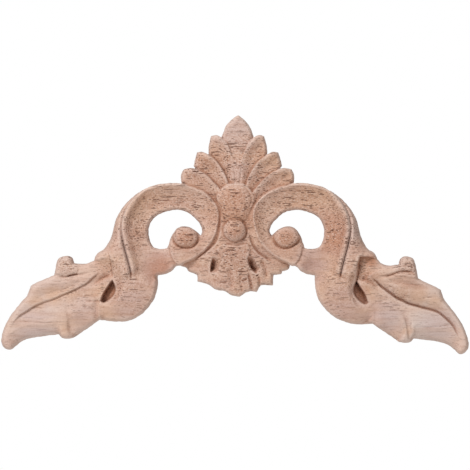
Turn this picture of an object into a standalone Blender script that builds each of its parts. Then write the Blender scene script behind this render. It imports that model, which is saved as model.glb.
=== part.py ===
"""Carved wooden corner onlay: a palmette over two scrolls, with a leaf spray down each side.

The piece is carved from one board. Its flat back lies in the plane Y = 0 and its face looks along -Y.
The origin is on the back, behind the middle of the bead. Places on the face are in millimetres from
there: out, the distance to the side (or x, to the right), and up, the height. Heights of the carving
are millimetres in front of the back. The two arms are one design turned over, apart from the named
differences. The drawing's forms are laid over each other from the lowest to the highest, and then the
gouge's strokes are taken off.
"""
import math
from collections.abc import Callable
from dataclasses import dataclass
from enum import Enum

import bmesh
import bpy
import numpy as np
from mathutils import Matrix

# The drawing is made for a piece 200 mm wide.
OVERALL_WIDTH = 0.200
DRAWN_WIDTH = 200.0
MM = OVERALL_WIDTH / DRAWN_WIDTH

# Fineness of the faceted solid: the net's step in mm, and the triangles kept on the carved face.
GRID_STEP = 0.6
FACE_TRIANGLES = 7400
SPLINE_STEPS = 6

# Sizes that several forms share, in mm: how far a scroll's rim is rounded, the soft outer edge, how
# much lower and shorter the right leaf hangs, and the least thickness that the carving leaves.
RIM_ROUND = 0.8
EDGE_ROUND = 1.4
EDGE_DROP = 1.6
RIGHT_LEAF_DROP = 1.7
RIGHT_LEAF_SHORT = 1.1
LOWEST = 2.0

# Where the right leaf starts to hang lower, and where its tip starts to be shorter.
LEAF_FROM_OUT = 42.0
LEAF_FROM_UP = -8.0
LEAF_EASE = 15.0
TIP_FROM_OUT = 80.0
TIP_EASE = 20.0

# Places further than this from a form, in mm, aren't measured against it.
FAR = 9.0

# How far a form laps past its outline, so that forms that meet leave no gap.
LAP = 0.1

WOOD_COLOUR = (0.56, 0.35, 0.25, 1.0)
WOOD_ROUGHNESS = 0.75

Places = np.ndarray
Points = list[tuple[float, float]]
Rule = Callable[[Places, np.ndarray], np.ndarray]
Stroke = tuple[float, float]


class Side(Enum):
    """The two arms of the onlay, as the sign of their places along X."""

    LEFT = -1
    RIGHT = 1


def ease(t: np.ndarray) -> np.ndarray:
    """Rise smoothly from 0 to 1 as t goes from 0 to 1.

    Args:
        t: How far along the rise each value is.

    Returns:
        The eased values.
    """
    t = np.clip(t, 0.0, 1.0)
    return t * t * (3.0 - 2.0 * t)


def smooth_path(points: Points | Places) -> Places:
    """Run a smooth curve through a few points.

    Args:
        points: The points that the curve passes through.

    Returns:
        The places along the curve.
    """
    p = np.array(points, dtype=float)
    if len(p) < 3:
        return p
    ends = np.vstack([2 * p[0] - p[1], p, 2 * p[-1] - p[-2]])
    curve = []
    for a, b, c, d in zip(ends, ends[1:], ends[2:], ends[3:]):
        for k in range(SPLINE_STEPS):
            t = k / SPLINE_STEPS
            curve.append(0.5 * (2 * b + (c - a) * t + (2 * a - 5 * b + 4 * c - d) * t ** 2
                                + (3 * b - a - 3 * c + d) * t ** 3))
    curve.append(p[-1])
    return np.array(curve)


def outline(*runs: Points | Places) -> Places:
    """Join smooth runs into one closed outline, with a cusp where two runs meet.

    Args:
        runs: The runs in order, each starting where the one before it ends.

    Returns:
        The corners of the closed outline.
    """
    return np.vstack([smooth_path(run)[:-1] for run in runs])


def ellipse(centre: Places, radius_out: float, radius_up: float, count: int = 48) -> Places:
    """Draw an ellipse as a closed outline.

    Args:
        centre: Its middle.
        radius_out: Half its width.
        radius_up: Half its height.
        count: How many corners it has.

    Returns:
        The corners of the outline.
    """
    turn = np.linspace(0, 2 * math.pi, count, endpoint=False)
    return np.column_stack([centre[0] + radius_out * np.cos(turn), centre[1] + radius_up * np.sin(turn)])


def path_distance(at: Places, path: Places) -> np.ndarray:
    """Measure how far each place is from a path.

    Args:
        at: The places.
        path: The corners of the path.

    Returns:
        The distances.
    """
    x, z = at[:, 0].copy(), at[:, 1].copy()
    best = np.full(len(at), 1e9)
    for a, b in zip(path, path[1:]):
        run = b - a
        t = ((x - a[0]) * run[0] + (z - a[1]) * run[1]) / run.dot(run)
        np.clip(t, 0.0, 1.0, out=t)
        gap = (x - a[0] - t * run[0]) ** 2 + (z - a[1] - t * run[1]) ** 2
        np.minimum(best, gap, out=best)
    return np.sqrt(best)


def path_places(at: Places, path: Places) -> tuple[np.ndarray, np.ndarray, np.ndarray]:
    """Find where each place lies beside a path.

    Args:
        at: The places.
        path: The corners of the path.

    Returns:
        The distance to the path, the side of it (+1 to its left), and how far along it, from 0 to 1.
    """
    best = np.full(len(at), 1e9)
    side = np.ones(len(at))
    along = np.zeros(len(at))
    start = 0.0
    for a, b in zip(path, path[1:]):
        length = float(np.hypot(*(b - a)))
        run = (b - a) / length
        rel = at - a
        t = np.clip(rel @ run, 0.0, length)
        gap = np.hypot(rel[:, 0] - t * run[0], rel[:, 1] - t * run[1])
        nearer = gap < best
        best[nearer] = gap[nearer]
        turn = run[0] * rel[nearer, 1] - run[1] * rel[nearer, 0]
        side[nearer] = np.where(turn >= 0, 1.0, -1.0)
        along[nearer] = start + t[nearer]
        start += length
    return best, side, along / start


def inside_distance(at: Places, loop: Places) -> np.ndarray:
    """Measure how far inside a closed outline each place is.

    Args:
        at: The places.
        loop: The corners of the outline.

    Returns:
        The distances, negative outside the outline.
    """
    closed = np.vstack([loop, loop[:1]])
    x, z = at[:, 0].copy(), at[:, 1].copy()
    inside = np.zeros(len(at), dtype=bool)
    for a, b in zip(closed, closed[1:]):
        if a[1] != b[1]:
            crosses = (a[1] > z) != (b[1] > z)
            inside ^= crosses & (x < a[0] + (z - a[1]) / (b[1] - a[1]) * (b[0] - a[0]))
    return np.where(inside, 1.0, -1.0) * path_distance(at, closed)


def placed(points: Points, side: Side, shift: float = 0.0) -> Places:
    """Put (out, up) places on one side, with the right leaf's own drop.

    Args:
        points: Distances out from the middle, and heights.
        side: The side that they are for.
        shift: How far right of the bead the middle is.

    Returns:
        The same places as (x, z).
    """
    p = np.array(points, dtype=float)
    out, up = p[:, 0], p[:, 1]
    if side is Side.RIGHT:
        low = ease((out - LEAF_FROM_OUT) / LEAF_EASE) * ease((LEAF_FROM_UP - up) / LEAF_EASE)
        up = up - RIGHT_LEAF_DROP * low
        out = out - RIGHT_LEAF_SHORT * ease((out - TIP_FROM_OUT) / TIP_EASE)
    return np.column_stack([shift + side.value * out, up])


class Form:
    """A carved form: a closed outline, its height rule, and how wide its cut edge is."""

    def __init__(self, loop: Places, height: Rule, edge: float = 1.1) -> None:
        """Keep the form's sizes, and the box that it can reach."""
        self.loop = loop
        self.height = height
        self.edge = edge
        self.low = loop.min(axis=0) - FAR
        self.high = loop.max(axis=0) + FAR

    def reach(self, at: Places) -> np.ndarray:
        """Measure how far inside the form each place is.

        Args:
            at: The places.

        Returns:
            The distances, or -FAR well away from the form.
        """
        found = np.full(len(at), -FAR)
        near = np.all((at > self.low) & (at < self.high), axis=1)
        if near.any():
            found[near] = inside_distance(at[near], self.loop)
        return found


class Cut:
    """A stroke of the gouge along a path, with a depth and a width on each side of it."""

    def __init__(self, path: Points | Places, left: Stroke, right: Stroke,
                 fade: Stroke = (0.2, 0.2), hollow: float = 1.5, soft: float = 0.35) -> None:
        """Keep the stroke's sizes: (depth, width) to its left and right, its ends' fades, its hollowness."""
        self.path = smooth_path(path)
        self.left = left
        self.right = right
        self.fade = fade
        self.hollow = hollow
        self.soft = soft
        widest = max(left[1], right[1])
        self.low = self.path.min(axis=0) - widest
        self.high = self.path.max(axis=0) + widest

    def depth(self, at: Places) -> np.ndarray:
        """Work out how much the stroke takes off.

        Args:
            at: The places.

        Returns:
            The depth taken off at each place.
        """
        found = np.zeros(len(at))
        near = np.all((at > self.low) & (at < self.high), axis=1)
        if not near.any():
            return found
        dist, side, along = path_places(at[near], self.path)
        strength = ease(along / self.fade[0]) * ease((1 - along) / self.fade[1])
        falls = [depth * np.clip(1 - dist / width, 0, 1) ** self.hollow
                 for depth, width in (self.left, self.right)]
        mix = ease(0.5 + 0.5 * side * dist / self.soft)
        found[near] = strength * (falls[0] * mix + falls[1] * (1 - mix))
        return found


def flat(top: float) -> Rule:
    """Give the rule of a level surface."""
    return lambda at, inside: np.full(len(at), top)


def pillow(top: float, roll: float, drop: float) -> Rule:
    """Give the rule of a level surface that rolls off towards its outline.

    Args:
        top: Its height.
        roll: How wide the roll is.
        drop: How far it falls there.

    Returns:
        The height rule.
    """
    return lambda at, inside: top - drop * (1 - np.clip(inside / roll, 0, 1)) ** 2


def dome(centre: Places, radius_out: float, radius_up: float, top: float, drop: float) -> Rule:
    """Give the rule of a round boss.

    Args:
        centre: Its middle.
        radius_out: Its reach to the sides.
        radius_up: Its reach up and down.
        top: Its height in the middle.
        drop: How far it falls to its edge.

    Returns:
        The height rule.
    """
    def height(at: Places, inside: np.ndarray) -> np.ndarray:
        far = ((at[:, 0] - centre[0]) / radius_out) ** 2 + ((at[:, 1] - centre[1]) / radius_up) ** 2
        return top - drop * (1 - np.sqrt(np.clip(1 - far, 0, 1)))
    return height


def scoop(rim: Places, top: float, fall: float, reach: float) -> Rule:
    """Give the rule of a hollow that falls away from its sharp rim.

    Args:
        rim: The path of the rim.
        top: The height of the rim.
        fall: How far the hollow falls.
        reach: How far from the rim it is lowest.

    Returns:
        The height rule.
    """
    def height(at: Places, inside: np.ndarray) -> np.ndarray:
        return top - fall * ease(path_distance(at, rim) / reach)
    return height


def cove(rim: Places, top: float, fall: float, reach: float, rounding: float = RIM_ROUND) -> Rule:
    """Give the rule of a rounded rim, and of the hollow moulding inside it.

    Args:
        rim: The path of the rim.
        top: The height of the rim.
        fall: How far the moulding falls.
        reach: How wide the moulding is.
        rounding: How round the rim is.

    Returns:
        The height rule.
    """
    def height(at: Places, inside: np.ndarray) -> np.ndarray:
        away = path_distance(at, rim)
        t = np.clip(away / (reach + rounding), 0, 1)
        return top - fall * (1 - (1 - t) ** 2) * ease(away / (2 * rounding))
    return height


def shoulder(edge: Places, top: float, drop: float, reach: float) -> Rule:
    """Give the rule of a level surface that rolls off towards one edge only.

    Args:
        edge: The path of that edge.
        top: The surface's height.
        drop: How far it falls there.
        reach: How wide the roll is.

    Returns:
        The height rule.
    """
    def height(at: Places, inside: np.ndarray) -> np.ndarray:
        return top - drop * (1 - np.clip(path_distance(at, edge) / reach, 0, 1)) ** 2
    return height


@dataclass
class Palmette:
    """The fan of seven petals. Each upper petal has a sharp rim and is scooped below it."""

    centre_top: float = 9.4
    centre_rise: float = 1.2
    centre_foot: float = 38.0
    centre_ease: float = 12.0
    rim_tops: tuple[float, float, float] = (10.6, 11.3, 11.9)
    fall: float = 1.9
    reach: float = 5.5
    shift: float = 0.7
    edge: float = 0.85

    def forms(self) -> list[Form]:
        """Give the petals, from the lowest to the highest."""
        centre = outline(
            [(0.9, 49.6), (3.8, 47.2), (6.0, 44.2), (7.5, 40.4)],
            [(7.5, 40.4), (5.6, 34.4), (3.0, 25.9), (0.9, 10.9)],
            [(0.9, 10.9), (-1.3, 25.9), (-4.3, 34.4), (-6.2, 40.2)],
            [(-6.2, 40.2), (-4.3, 44.7), (-2.1, 47.2), (0.9, 49.6)])
        found = [Form(centre, self.centre_height, self.edge)]
        for runs, top in zip(self.petals(), self.rim_tops):
            for side in Side:
                loop = outline(*[placed(run, side, self.shift) for run in runs])
                rim = smooth_path(placed(runs[0], side, self.shift))
                found.append(Form(loop, scoop(rim, top, self.fall, self.reach), self.edge))
        return found

    def centre_height(self, at: Places, inside: np.ndarray) -> np.ndarray:
        """Let the middle petal rise to its foot, where the petals beside it lap over it."""
        return self.centre_top + self.centre_rise * ease((self.centre_foot - at[:, 1]) / self.centre_ease)

    def petals(self) -> list[tuple[Points, Points, Points, Points]]:
        """Give each side petal's rim, back, blunt side and top, as (out, up) runs."""
        inner = (
            [(6.9, 40.0), (4.3, 37.2), (2.6, 33.6), (1.3, 29.3), (0.7, 23.3), (0.5, 13.0)],
            [(0.5, 13.0), (6.7, 20.7), (10.1, 27.1), (12.7, 33.1)],
            [(12.7, 33.1), (12.4, 36.6), (11.4, 40.4)],
            [(11.4, 40.4), (9.2, 40.8), (6.9, 40.0)])
        middle = (
            [(12.7, 32.7), (8.8, 30.1), (5.8, 25.9), (3.7, 21.2), (1.5, 12.2)],
            [(1.5, 12.2), (7.5, 13.9), (13.5, 20.7), (18.9, 27.6)],
            [(18.9, 27.6), (18.4, 30.1), (17.4, 33.4)],
            [(17.4, 33.4), (15.2, 33.7), (12.7, 32.7)])
        outer = (
            [(17.8, 26.5), (13.5, 24.4), (9.2, 20.3), (5.8, 16.0), (4.1, 11.3)],
            [(4.1, 11.3), (10.1, 11.8), (16.9, 15.2), (24.2, 20.7)],
            [(24.2, 20.7), (24.2, 23.7), (23.1, 26.3)],
            [(23.1, 26.3), (20.4, 26.8), (17.8, 26.5)])
        return [inner, middle, outer]


@dataclass
class Pendant:
    """The leafy drop under the bead, with two slots sunk beside its stem."""

    top: float = 12.4
    slope: float = 0.13
    crown: float = 0.007
    stem_rise: float = 0.7
    slot_depth: float = 5.0
    bed_top: float = 11.2
    bed_slope: float = 0.07
    bed_from: float = 12.0
    bed_to: float = -8.0
    fall_from: float = -6.0
    stem_foot: float = -17.5
    stem_fade: float = 6.0

    def bed_height(self, at: Places, inside: np.ndarray) -> np.ndarray:
        """Rise from the petals' foot towards the drop."""
        return self.bed_top + self.bed_slope * (self.bed_from - np.clip(at[:, 1], self.bed_to, self.bed_from))

    def bed(self) -> Form:
        """Give the sunk ground between the scrolls, behind the bead."""
        loop = outline(
            [(-12.0, 19.9), (12.0, 19.9)],
            [(12.0, 19.9), (11.1, -10.5)],
            [(11.1, -10.5), (-12.0, -10.5)],
            [(-12.0, -10.5), (-12.0, 19.9)])
        return Form(loop, self.bed_height)

    def height(self, at: Places, inside: np.ndarray) -> np.ndarray:
        """Fall away below the bead and to both sides."""
        down = np.maximum(self.fall_from - at[:, 1], 0)
        return self.top - self.slope * down - self.crown * at[:, 0] ** 2

    def stem_height(self, at: Places, inside: np.ndarray) -> np.ndarray:
        """Stand the flat stem proud of the drop, less so towards its foot."""
        return self.height(at, inside) + self.stem_rise * ease((at[:, 1] - self.stem_foot) / self.stem_fade)

    def forms(self) -> list[Form]:
        """Give the drop and its flat stem."""
        drop = outline(
            [(-4.3, -0.2), (3.8, -0.2)],
            [(3.8, -0.2), (11.1, -3.2), (18.8, -9.2), (23.1, -13.5)],
            [(23.1, -13.5), (22.7, -16.5), (19.7, -17.5)],
            [(19.7, -17.5), (19.2, -18.7), (16.0, -19.0)],
            [(16.0, -19.0), (15.7, -23.5)],
            [(15.7, -23.5), (11.1, -23.4), (10.0, -24.4)],
            [(10.0, -24.4), (8.8, -26.3)],
            [(8.8, -26.3), (6.4, -26.0), (4.3, -26.5)],
            [(4.3, -26.5), (1.7, -28.4)],
            [(1.7, -28.4), (-1.7, -27.8), (-5.1, -25.9)],
            [(-5.1, -25.9), (-9.0, -25.2), (-11.5, -23.3)],
            [(-11.5, -23.3), (-16.5, -21.8)],
            [(-16.5, -21.8), (-16.7, -19.0)],
            [(-16.7, -19.0), (-20.3, -17.5), (-21.4, -16.2), (-23.9, -15.2)],
            [(-23.9, -15.2), (-19.7, -9.2), (-12.0, -3.2), (-4.3, -0.2)])
        stem = outline([(-5.6, -5.1), (5.1, -5.3)],
                       [(5.1, -5.3), (6.4, -8.3), (5.8, -11.8), (6.8, -16.9)],
                       [(6.8, -16.9), (2.6, -17.7), (-2.6, -17.3), (-7.1, -16.9)],
                       [(-7.1, -16.9), (-6.8, -10.9), (-9.4, -8.3)],
                       [(-9.4, -8.3), (-5.6, -5.1)])
        return [Form(drop, self.height, 2.2), Form(stem, self.stem_height, 0.9)]

    def slots(self) -> list[Cut]:
        """Give the two slots: a steep wall on the left, and a long slope up to the right."""
        steep = (self.slot_depth, 0.55)
        left = [(-9.6, -10.5), (-10.3, -14.3), (-10.6, -18.4)]
        right = [(5.1, -10.7), (5.7, -13.5), (7.0, -16.2), (9.3, -18.4)]
        return [Cut(left, (self.slot_depth, 3.4), steep, (0.5, 0.3), 1.15),
                Cut(right, (self.slot_depth, 2.8), steep, (0.4, 0.25), 1.0)]

    def folds(self) -> list[Cut]:
        """Give the collar's line, the leafy end's folds and the small pits in them."""
        drawn = [([(-5.6, -5.5), (0.0, -5.9), (5.1, -5.6)], (0.9, 0.8)),
                 ([(-3.2, -15.6), (-2.4, -19.5), (-1.5, -25.4)], (0.9, 2.0)),
                 ([(1.5, -17.7), (1.9, -21.2), (2.8, -26.7)], (0.6, 1.2)),
                 ([(5.3, -17.7), (6.1, -21.6), (7.3, -26.3)], (1.1, 1.0)),
                 ([(9.4, -19.5), (10.0, -21.6), (9.8, -24.2)], (0.9, 1.0)),
                 ([(10.5, -12.2), (12.2, -15.6), (13.3, -20.7)], (1.0, 1.7)),
                 ([(-12.4, -13.5), (-12.8, -18.2), (-12.0, -22.9)], (0.4, 2.4)),
                 ([(-7.3, -22.0), (-5.6, -22.3), (-3.4, -21.6)], (0.7, 0.6)),
                 ([(2.1, -21.5), (3.4, -21.2), (4.9, -20.4)], (1.1, 0.7)),
                 ([(8.5, -19.5), (9.6, -19.0)], (1.3, 0.6))]
        return [Cut(path, stroke, stroke) for path, stroke in drawn]

    def cuts(self) -> list[Cut]:
        """Give every stroke on the drop, and the hollows between it and the scrolls."""
        left = [(-6.0, 10.9), (-6.6, 6.2), (-6.8, 0.6), (-8.0, -4.1), (-10.3, -7.1), (-13.3, -9.8),
                (-17.5, -12.8)]
        right = [(5.3, 1.9), (5.8, -2.4), (7.1, -6.4), (9.8, -9.6), (12.8, -12.0), (17.1, -13.9)]
        return self.slots() + self.folds() + [
            Cut(left, (0.3, 0.6), (1.8, 4.2), (0.25, 0.15), 1.3),
            Cut(right, (1.7, 1.9), (0.5, 0.7), (0.4, 0.25))]


@dataclass
class Scroll:
    """A scroll band with a rounded rim and a hollow moulding, the knob in its eye, and its opening."""

    side: Side
    rim_top: float = 13.2
    fall: float = 4.2
    reach: float = 9.5
    lobe_top: float = 11.4
    lobe_reach: float = 8.5
    lobe_full: float = 1.4
    arm_rounding: float = 2.2
    arm_from: float = 38.0
    arm_ease: float = 6.0
    edge: float = 1.5
    knob_top: float = 12.9
    knob_drop: float = 3.0
    knob_half: tuple[float, float] = (5.7, 4.7)
    knob_past: float = 0.5

    def band(self) -> Form:
        """Give the band, from its foot in the arm to where it passes under the knob."""
        rim = placed([(44.5, -22.4), (44.7, -19.0), (46.2, -12.6), (47.9, -6.2), (49.0, 0.2), (47.9, 7.1),
                      (44.5, 13.0), (39.8, 17.3), (34.2, 19.5), (28.2, 20.3), (21.8, 19.9), (15.4, 18.0),
                      (10.7, 14.9), (7.7, 10.9), (6.6, 6.2), (7.7, -0.2), (10.3, -5.8), (14.1, -10.3),
                      (19.2, -13.5), (23.9, -15.2)], self.side)
        low = placed([(23.9, -15.2), (25.7, -15.4), (27.8, -17.5), (30.4, -18.7), (33.6, -19.2)],
                     self.side)
        foot = placed([(33.6, -19.2), (35.9, -22.9), (38.9, -25.9), (42.3, -27.6), (44.9, -26.3),
                       (44.5, -22.4)],
                      self.side)
        return Form(outline(rim, low, foot), self.band_height(smooth_path(rim)), self.edge)

    def band_height(self, rim: Places) -> Rule:
        """Give the rule of the band: its rim is rounder beside the arm, and it ends in a flat lobe.

        Args:
            rim: The path of the rim.

        Returns:
            The height rule.
        """
        moulding = cove(rim, self.rim_top, self.fall, self.reach)
        softer = cove(rim, self.rim_top, self.fall, self.reach, self.arm_rounding)
        lobe = placed([(21.6, -10.9)], self.side)[0]

        def height(at: Places, inside: np.ndarray) -> np.ndarray:
            near = ease(self.lobe_full - np.hypot(*(at - lobe).T) / self.lobe_reach)
            arm = ease((np.abs(at[:, 0]) - self.arm_from) / self.arm_ease)
            band = moulding(at, inside) * (1 - arm) + softer(at, inside) * arm
            return band * (1 - near) + self.lobe_top * near
        return height

    def knob(self) -> Form:
        """Give the round knob that the scroll ends in."""
        centre = placed([(21.6, -2.7)], self.side)[0]
        out, up = self.knob_half
        boss = dome(centre, out + self.knob_past, up + self.knob_past, self.knob_top, self.knob_drop)
        return Form(ellipse(centre, out, up), boss, 0.9)

    def opening(self) -> Places:
        """Give the outline of the pierced eye."""
        return outline(
            placed([(29.4, -7.5), (32.5, -7.9), (35.5, -7.0), (37.1, -4.1), (37.6, -0.6), (37.0, 2.8),
                    (34.6, 6.0), (30.4, 7.9), (25.7, 8.8), (20.9, 7.8), (17.5, 5.1), (15.4, 2.6),
                    (14.5, -0.2), (15.2, -2.1)], self.side),
            placed([(15.2, -2.1), (17.1, -0.3), (19.7, 1.3), (22.7, 1.8), (25.4, 0.8), (27.6, -2.4),
                    (29.4, -7.5)], self.side))


@dataclass
class LeafArm:
    """The leaf spray of one side, its ear, the fold that comes off the scroll, and the bulb."""

    side: Side
    leaf_top: float = 10.6
    leaf_roll: tuple[float, float] = (3.0, 1.0)
    ear_top: float = 10.9
    ear_roll: tuple[float, float] = (2.5, 0.8)
    fold_top: float = 13.2
    fold_drop: float = 4.4
    fold_roll: float = 5.0
    fold_low: float = -5.0
    fold_ease: float = 9.0
    fold_sink: float = 1.3
    fold_sunk: float = -17.0
    fold_level: float = 0.5
    right_eye_shift: tuple[float, float] = (-1.4, 1.0)
    bulb_top: float = 12.6
    bulb_drop: float = 4.2
    bulb_half: tuple[float, float] = (15.0, 12.8)
    bulb_edge: float = 4.0
    eye_top: float = 9.2
    eye_drop: float = 4.7
    eye_reach: float = 8.0
    step_floor: float = 10.0
    seam: float = 1.1
    right_seam: float = 0.4

    def place(self, points: Points) -> Places:
        """Put the arm's (out, up) places on its side."""
        return placed(points, self.side)

    def leaf(self) -> list[Form]:
        """Give the leaf blade, and the ear on its upper edge."""
        blade = outline(
            self.place([(58.6, -9.2), (60.1, -10.9), (60.7, -12.8)]),
            self.place([(60.7, -12.8), (64.6, -14.2), (69.5, -13.9)]),
            self.place([(69.5, -13.9), (70.5, -11.5), (73.5, -10.9), (76.3, -12.6), (77.8, -19.0)]),
            self.place([(77.8, -19.0), (81.2, -20.5), (85.5, -22.2), (87.9, -23.7)]),
            self.place([(87.9, -23.7), (88.7, -25.9), (89.6, -28.0)]),
            self.place([(89.6, -28.0), (94.5, -33.6), (97.9, -38.7), (100.0, -43.8), (100.5, -47.7),
                        (99.2, -50.2), (96.6, -51.1), (94.1, -49.2), (90.2, -46.8), (83.8, -45.5),
                        (75.9, -44.5)]),
            self.place([(75.9, -44.5), (74.4, -46.0), (71.8, -46.3), (69.7, -46.0)]),
            self.place([(69.7, -46.0), (64.1, -42.2), (58.4, -38.3)]),
            self.place([(58.4, -38.3), (53.0, -34.8), (48.7, -25.4), (50.4, -13.5), (58.6, -9.2)]))
        ear = outline(
            self.place([(77.8, -19.0), (76.3, -12.6), (73.5, -10.9), (70.5, -11.5), (69.5, -13.9)]),
            self.place([(69.5, -13.9), (66.7, -15.2), (67.1, -18.2), (72.3, -19.5)]),
            self.place([(72.3, -19.5), (75.2, -19.9), (77.8, -19.0)]))
        return [Form(blade, pillow(self.leaf_top, *self.leaf_roll)),
                Form(ear, pillow(self.ear_top, *self.ear_roll))]

    def stem(self) -> list[Form]:
        """Give the fold that comes off the scroll, the bulb it ends in, and the eye sunk beside them."""
        outer = [(39.8, 17.5), (43.2, 15.2), (47.5, 11.1), (51.3, 5.3), (53.4, -2.4), (56.0, -7.3),
                 (59.4, -9.8), (60.7, -12.8)]
        lower = [(60.7, -12.8), (57.3, -14.3), (54.5, -16.2), (52.6, -19.0), (51.2, -22.9), (50.4, -26.7)]
        fold = outline(
            self.place(outer),
            self.place(lower),
            self.place([(50.4, -26.7), (48.7, -30.6), (45.3, -31.0), (43.6, -26.3)]),
            self.place([(43.6, -26.3), (44.7, -19.0), (46.2, -12.6), (47.9, -6.2), (49.0, 0.2),
                        (47.9, 7.1), (44.5, 12.6), (39.8, 17.5)]))
        bulb = outline(
            self.place([(57.9, -30.1), (53.9, -28.9), (51.3, -25.4), (48.7, -19.5), (41.0, -16.0),
                        (33.6, -19.2)]),
            self.place([(33.6, -19.2), (33.6, -22.9), (34.6, -28.0), (36.8, -31.9), (40.2, -35.7),
                        (45.3, -38.5), (51.7, -39.0), (58.4, -38.3)]),
            self.place([(58.4, -38.3), (59.0, -34.4), (57.9, -30.1)]))
        flank = smooth_path(self.place(outer + lower[1:]))
        centre = self.place([(46.6, -28.0)])[0]
        eye = outline(
            self.place([(52.6, -21.2), (51.2, -24.2), (51.7, -27.1), (53.9, -29.7), (56.4, -31.0),
                        (58.0, -30.1)]),
            self.place([(58.0, -30.1), (56.6, -26.3), (54.3, -22.9), (52.6, -21.2)]))
        deepest = smooth_path(self.place([(58.0, -30.1), (56.6, -26.3), (54.3, -22.9), (52.6, -21.2)]))
        if self.side is Side.RIGHT:
            eye = eye + self.right_eye_shift
            deepest = deepest + self.right_eye_shift
        found = [Form(fold, self.fold_height(flank), 1.1),
                 Form(bulb, dome(centre, *self.bulb_half, self.bulb_top, self.bulb_drop), self.bulb_edge),
                 Form(eye, shoulder(deepest, self.eye_top, self.eye_drop, self.eye_reach), 0.8)]
        if self.side is Side.RIGHT:
            found.append(self.step())
        return found

    def fold_height(self, flank: Places) -> Rule:
        """Give the rule of the fold, which rolls off less and sinks a little where it meets the leaf.

        Args:
            flank: The path of its outer edge.

        Returns:
            The height rule.
        """
        def height(at: Places, inside: np.ndarray) -> np.ndarray:
            low = ease((self.fold_low - at[:, 1]) / self.fold_ease)
            away = path_distance(at, flank) / self.fold_roll
            sharp = (1 - np.clip(away, 0, 1)) ** 2
            roll = sharp * (1 - low) + self.fold_level * (1 - ease(away)) * low
            sunk = ease((self.fold_sunk - at[:, 1]) / self.fold_ease)
            return self.fold_top - self.fold_sink * sunk - self.fold_drop * roll
        return height

    def step(self) -> Form:
        """Give the square step that ends the fold above the right leaf."""
        loop = outline(
            [(52.8, -10.9), (59.2, -10.9)],
            [(59.2, -10.9), (61.6, -13.5), (63.3, -16.9)],
            [(63.3, -16.9), (58.1, -18.6), (54.3, -22.4)],
            [(54.3, -22.4), (52.2, -22.4), (51.3, -16.9), (52.8, -10.9)])
        return Form(loop, flat(self.step_floor), 1.0)

    def cut(self, points: Points, outer: Stroke, inner: Stroke, fade: Stroke = (0.2, 0.2),
            hollow: float = 1.5, soft: float = 0.35) -> Cut:
        """Make a stroke that runs down the arm.

        Args:
            points: Its (out, up) path, from its upper end.
            outer: Depth and width on the path's outer or upper side.
            inner: Depth and width on its other side.
            fade: How far along each end fades.
            hollow: How hollow its sides are, where 1 is flat.
            soft: How softly one side passes into the other.

        Returns:
            The stroke on this side of the onlay.
        """
        left, right = (inner, outer) if self.side is Side.LEFT else (outer, inner)
        return Cut(self.place(points), left, right, fade, hollow, soft)

    def cuts(self) -> list[Cut]:
        """Give the arm's groove, veins, lobe edges and seams."""
        seam = self.seam if self.side is Side.LEFT else self.right_seam
        found = [
            self.cut([(48.5, 7.5), (49.0, 3.6), (48.7, -1.9), (47.7, -7.1), (46.2, -12.6), (44.9, -17.7),
                      (44.5, -23.3)], (0.8, 0.55), (0.6, 0.45), (0.45, 0.25)),
            self.cut([(54.7, -8.3), (53.7, -11.8), (53.0, -16.0), (52.4, -20.7)], (0.9, 4.5), (0.0, 1.0),
                     (0.3, 0.15), 1.0),
            self.cut([(53.0, -18.6), (57.3, -20.5), (60.3, -22.7), (63.3, -25.0)], (1.4, 2.5), (1.4, 1.5),
                     (0.2, 0.6)),
            self.cut([(57.9, -29.7), (59.2, -32.3), (59.2, -34.8), (58.6, -39.1)], (seam, 2.8),
                     (0.2, 1.6),
                     (0.1, 0.05), 1.2, 0.8),
            self.cut([(59.0, -38.7), (64.1, -42.5), (70.5, -46.4)], (2.4, 8.0), (0.0, 1.0), (0.6, 0.2),
                     1.0),
            self.cut([(74.4, -45.1), (83.8, -46.0), (90.6, -47.9), (95.3, -51.5)], (2.6, 6.6), (0.0, 1.0),
                     (0.1, 0.2), 1.0),
            self.cut([(94.1, -38.5), (89.8, -39.1), (82.9, -39.5), (76.1, -39.2)], (0.35, 0.5),
                     (0.35, 0.5)),
            self.cut([(81.7, -21.6), (75.2, -21.6), (68.8, -20.7), (62.0, -20.3)], (0.35, 0.5),
                     (0.35, 0.5)),
            self.cut([(27.8, -6.6), (28.0, -9.2), (26.5, -13.0), (23.5, -16.0)], (0.8, 3.0), (0.0, 1.0),
                     (0.2, 0.3)),
            self.cut([(27.4, -2.4), (26.5, -4.5), (24.4, -6.5), (21.4, -7.5), (18.0, -6.6), (15.6, -3.2)],
                     (1.4, 1.0), (0.5, 1.0)),
        ]
        return found + (self.left_cuts() if self.side is Side.LEFT else self.right_cuts())

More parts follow.
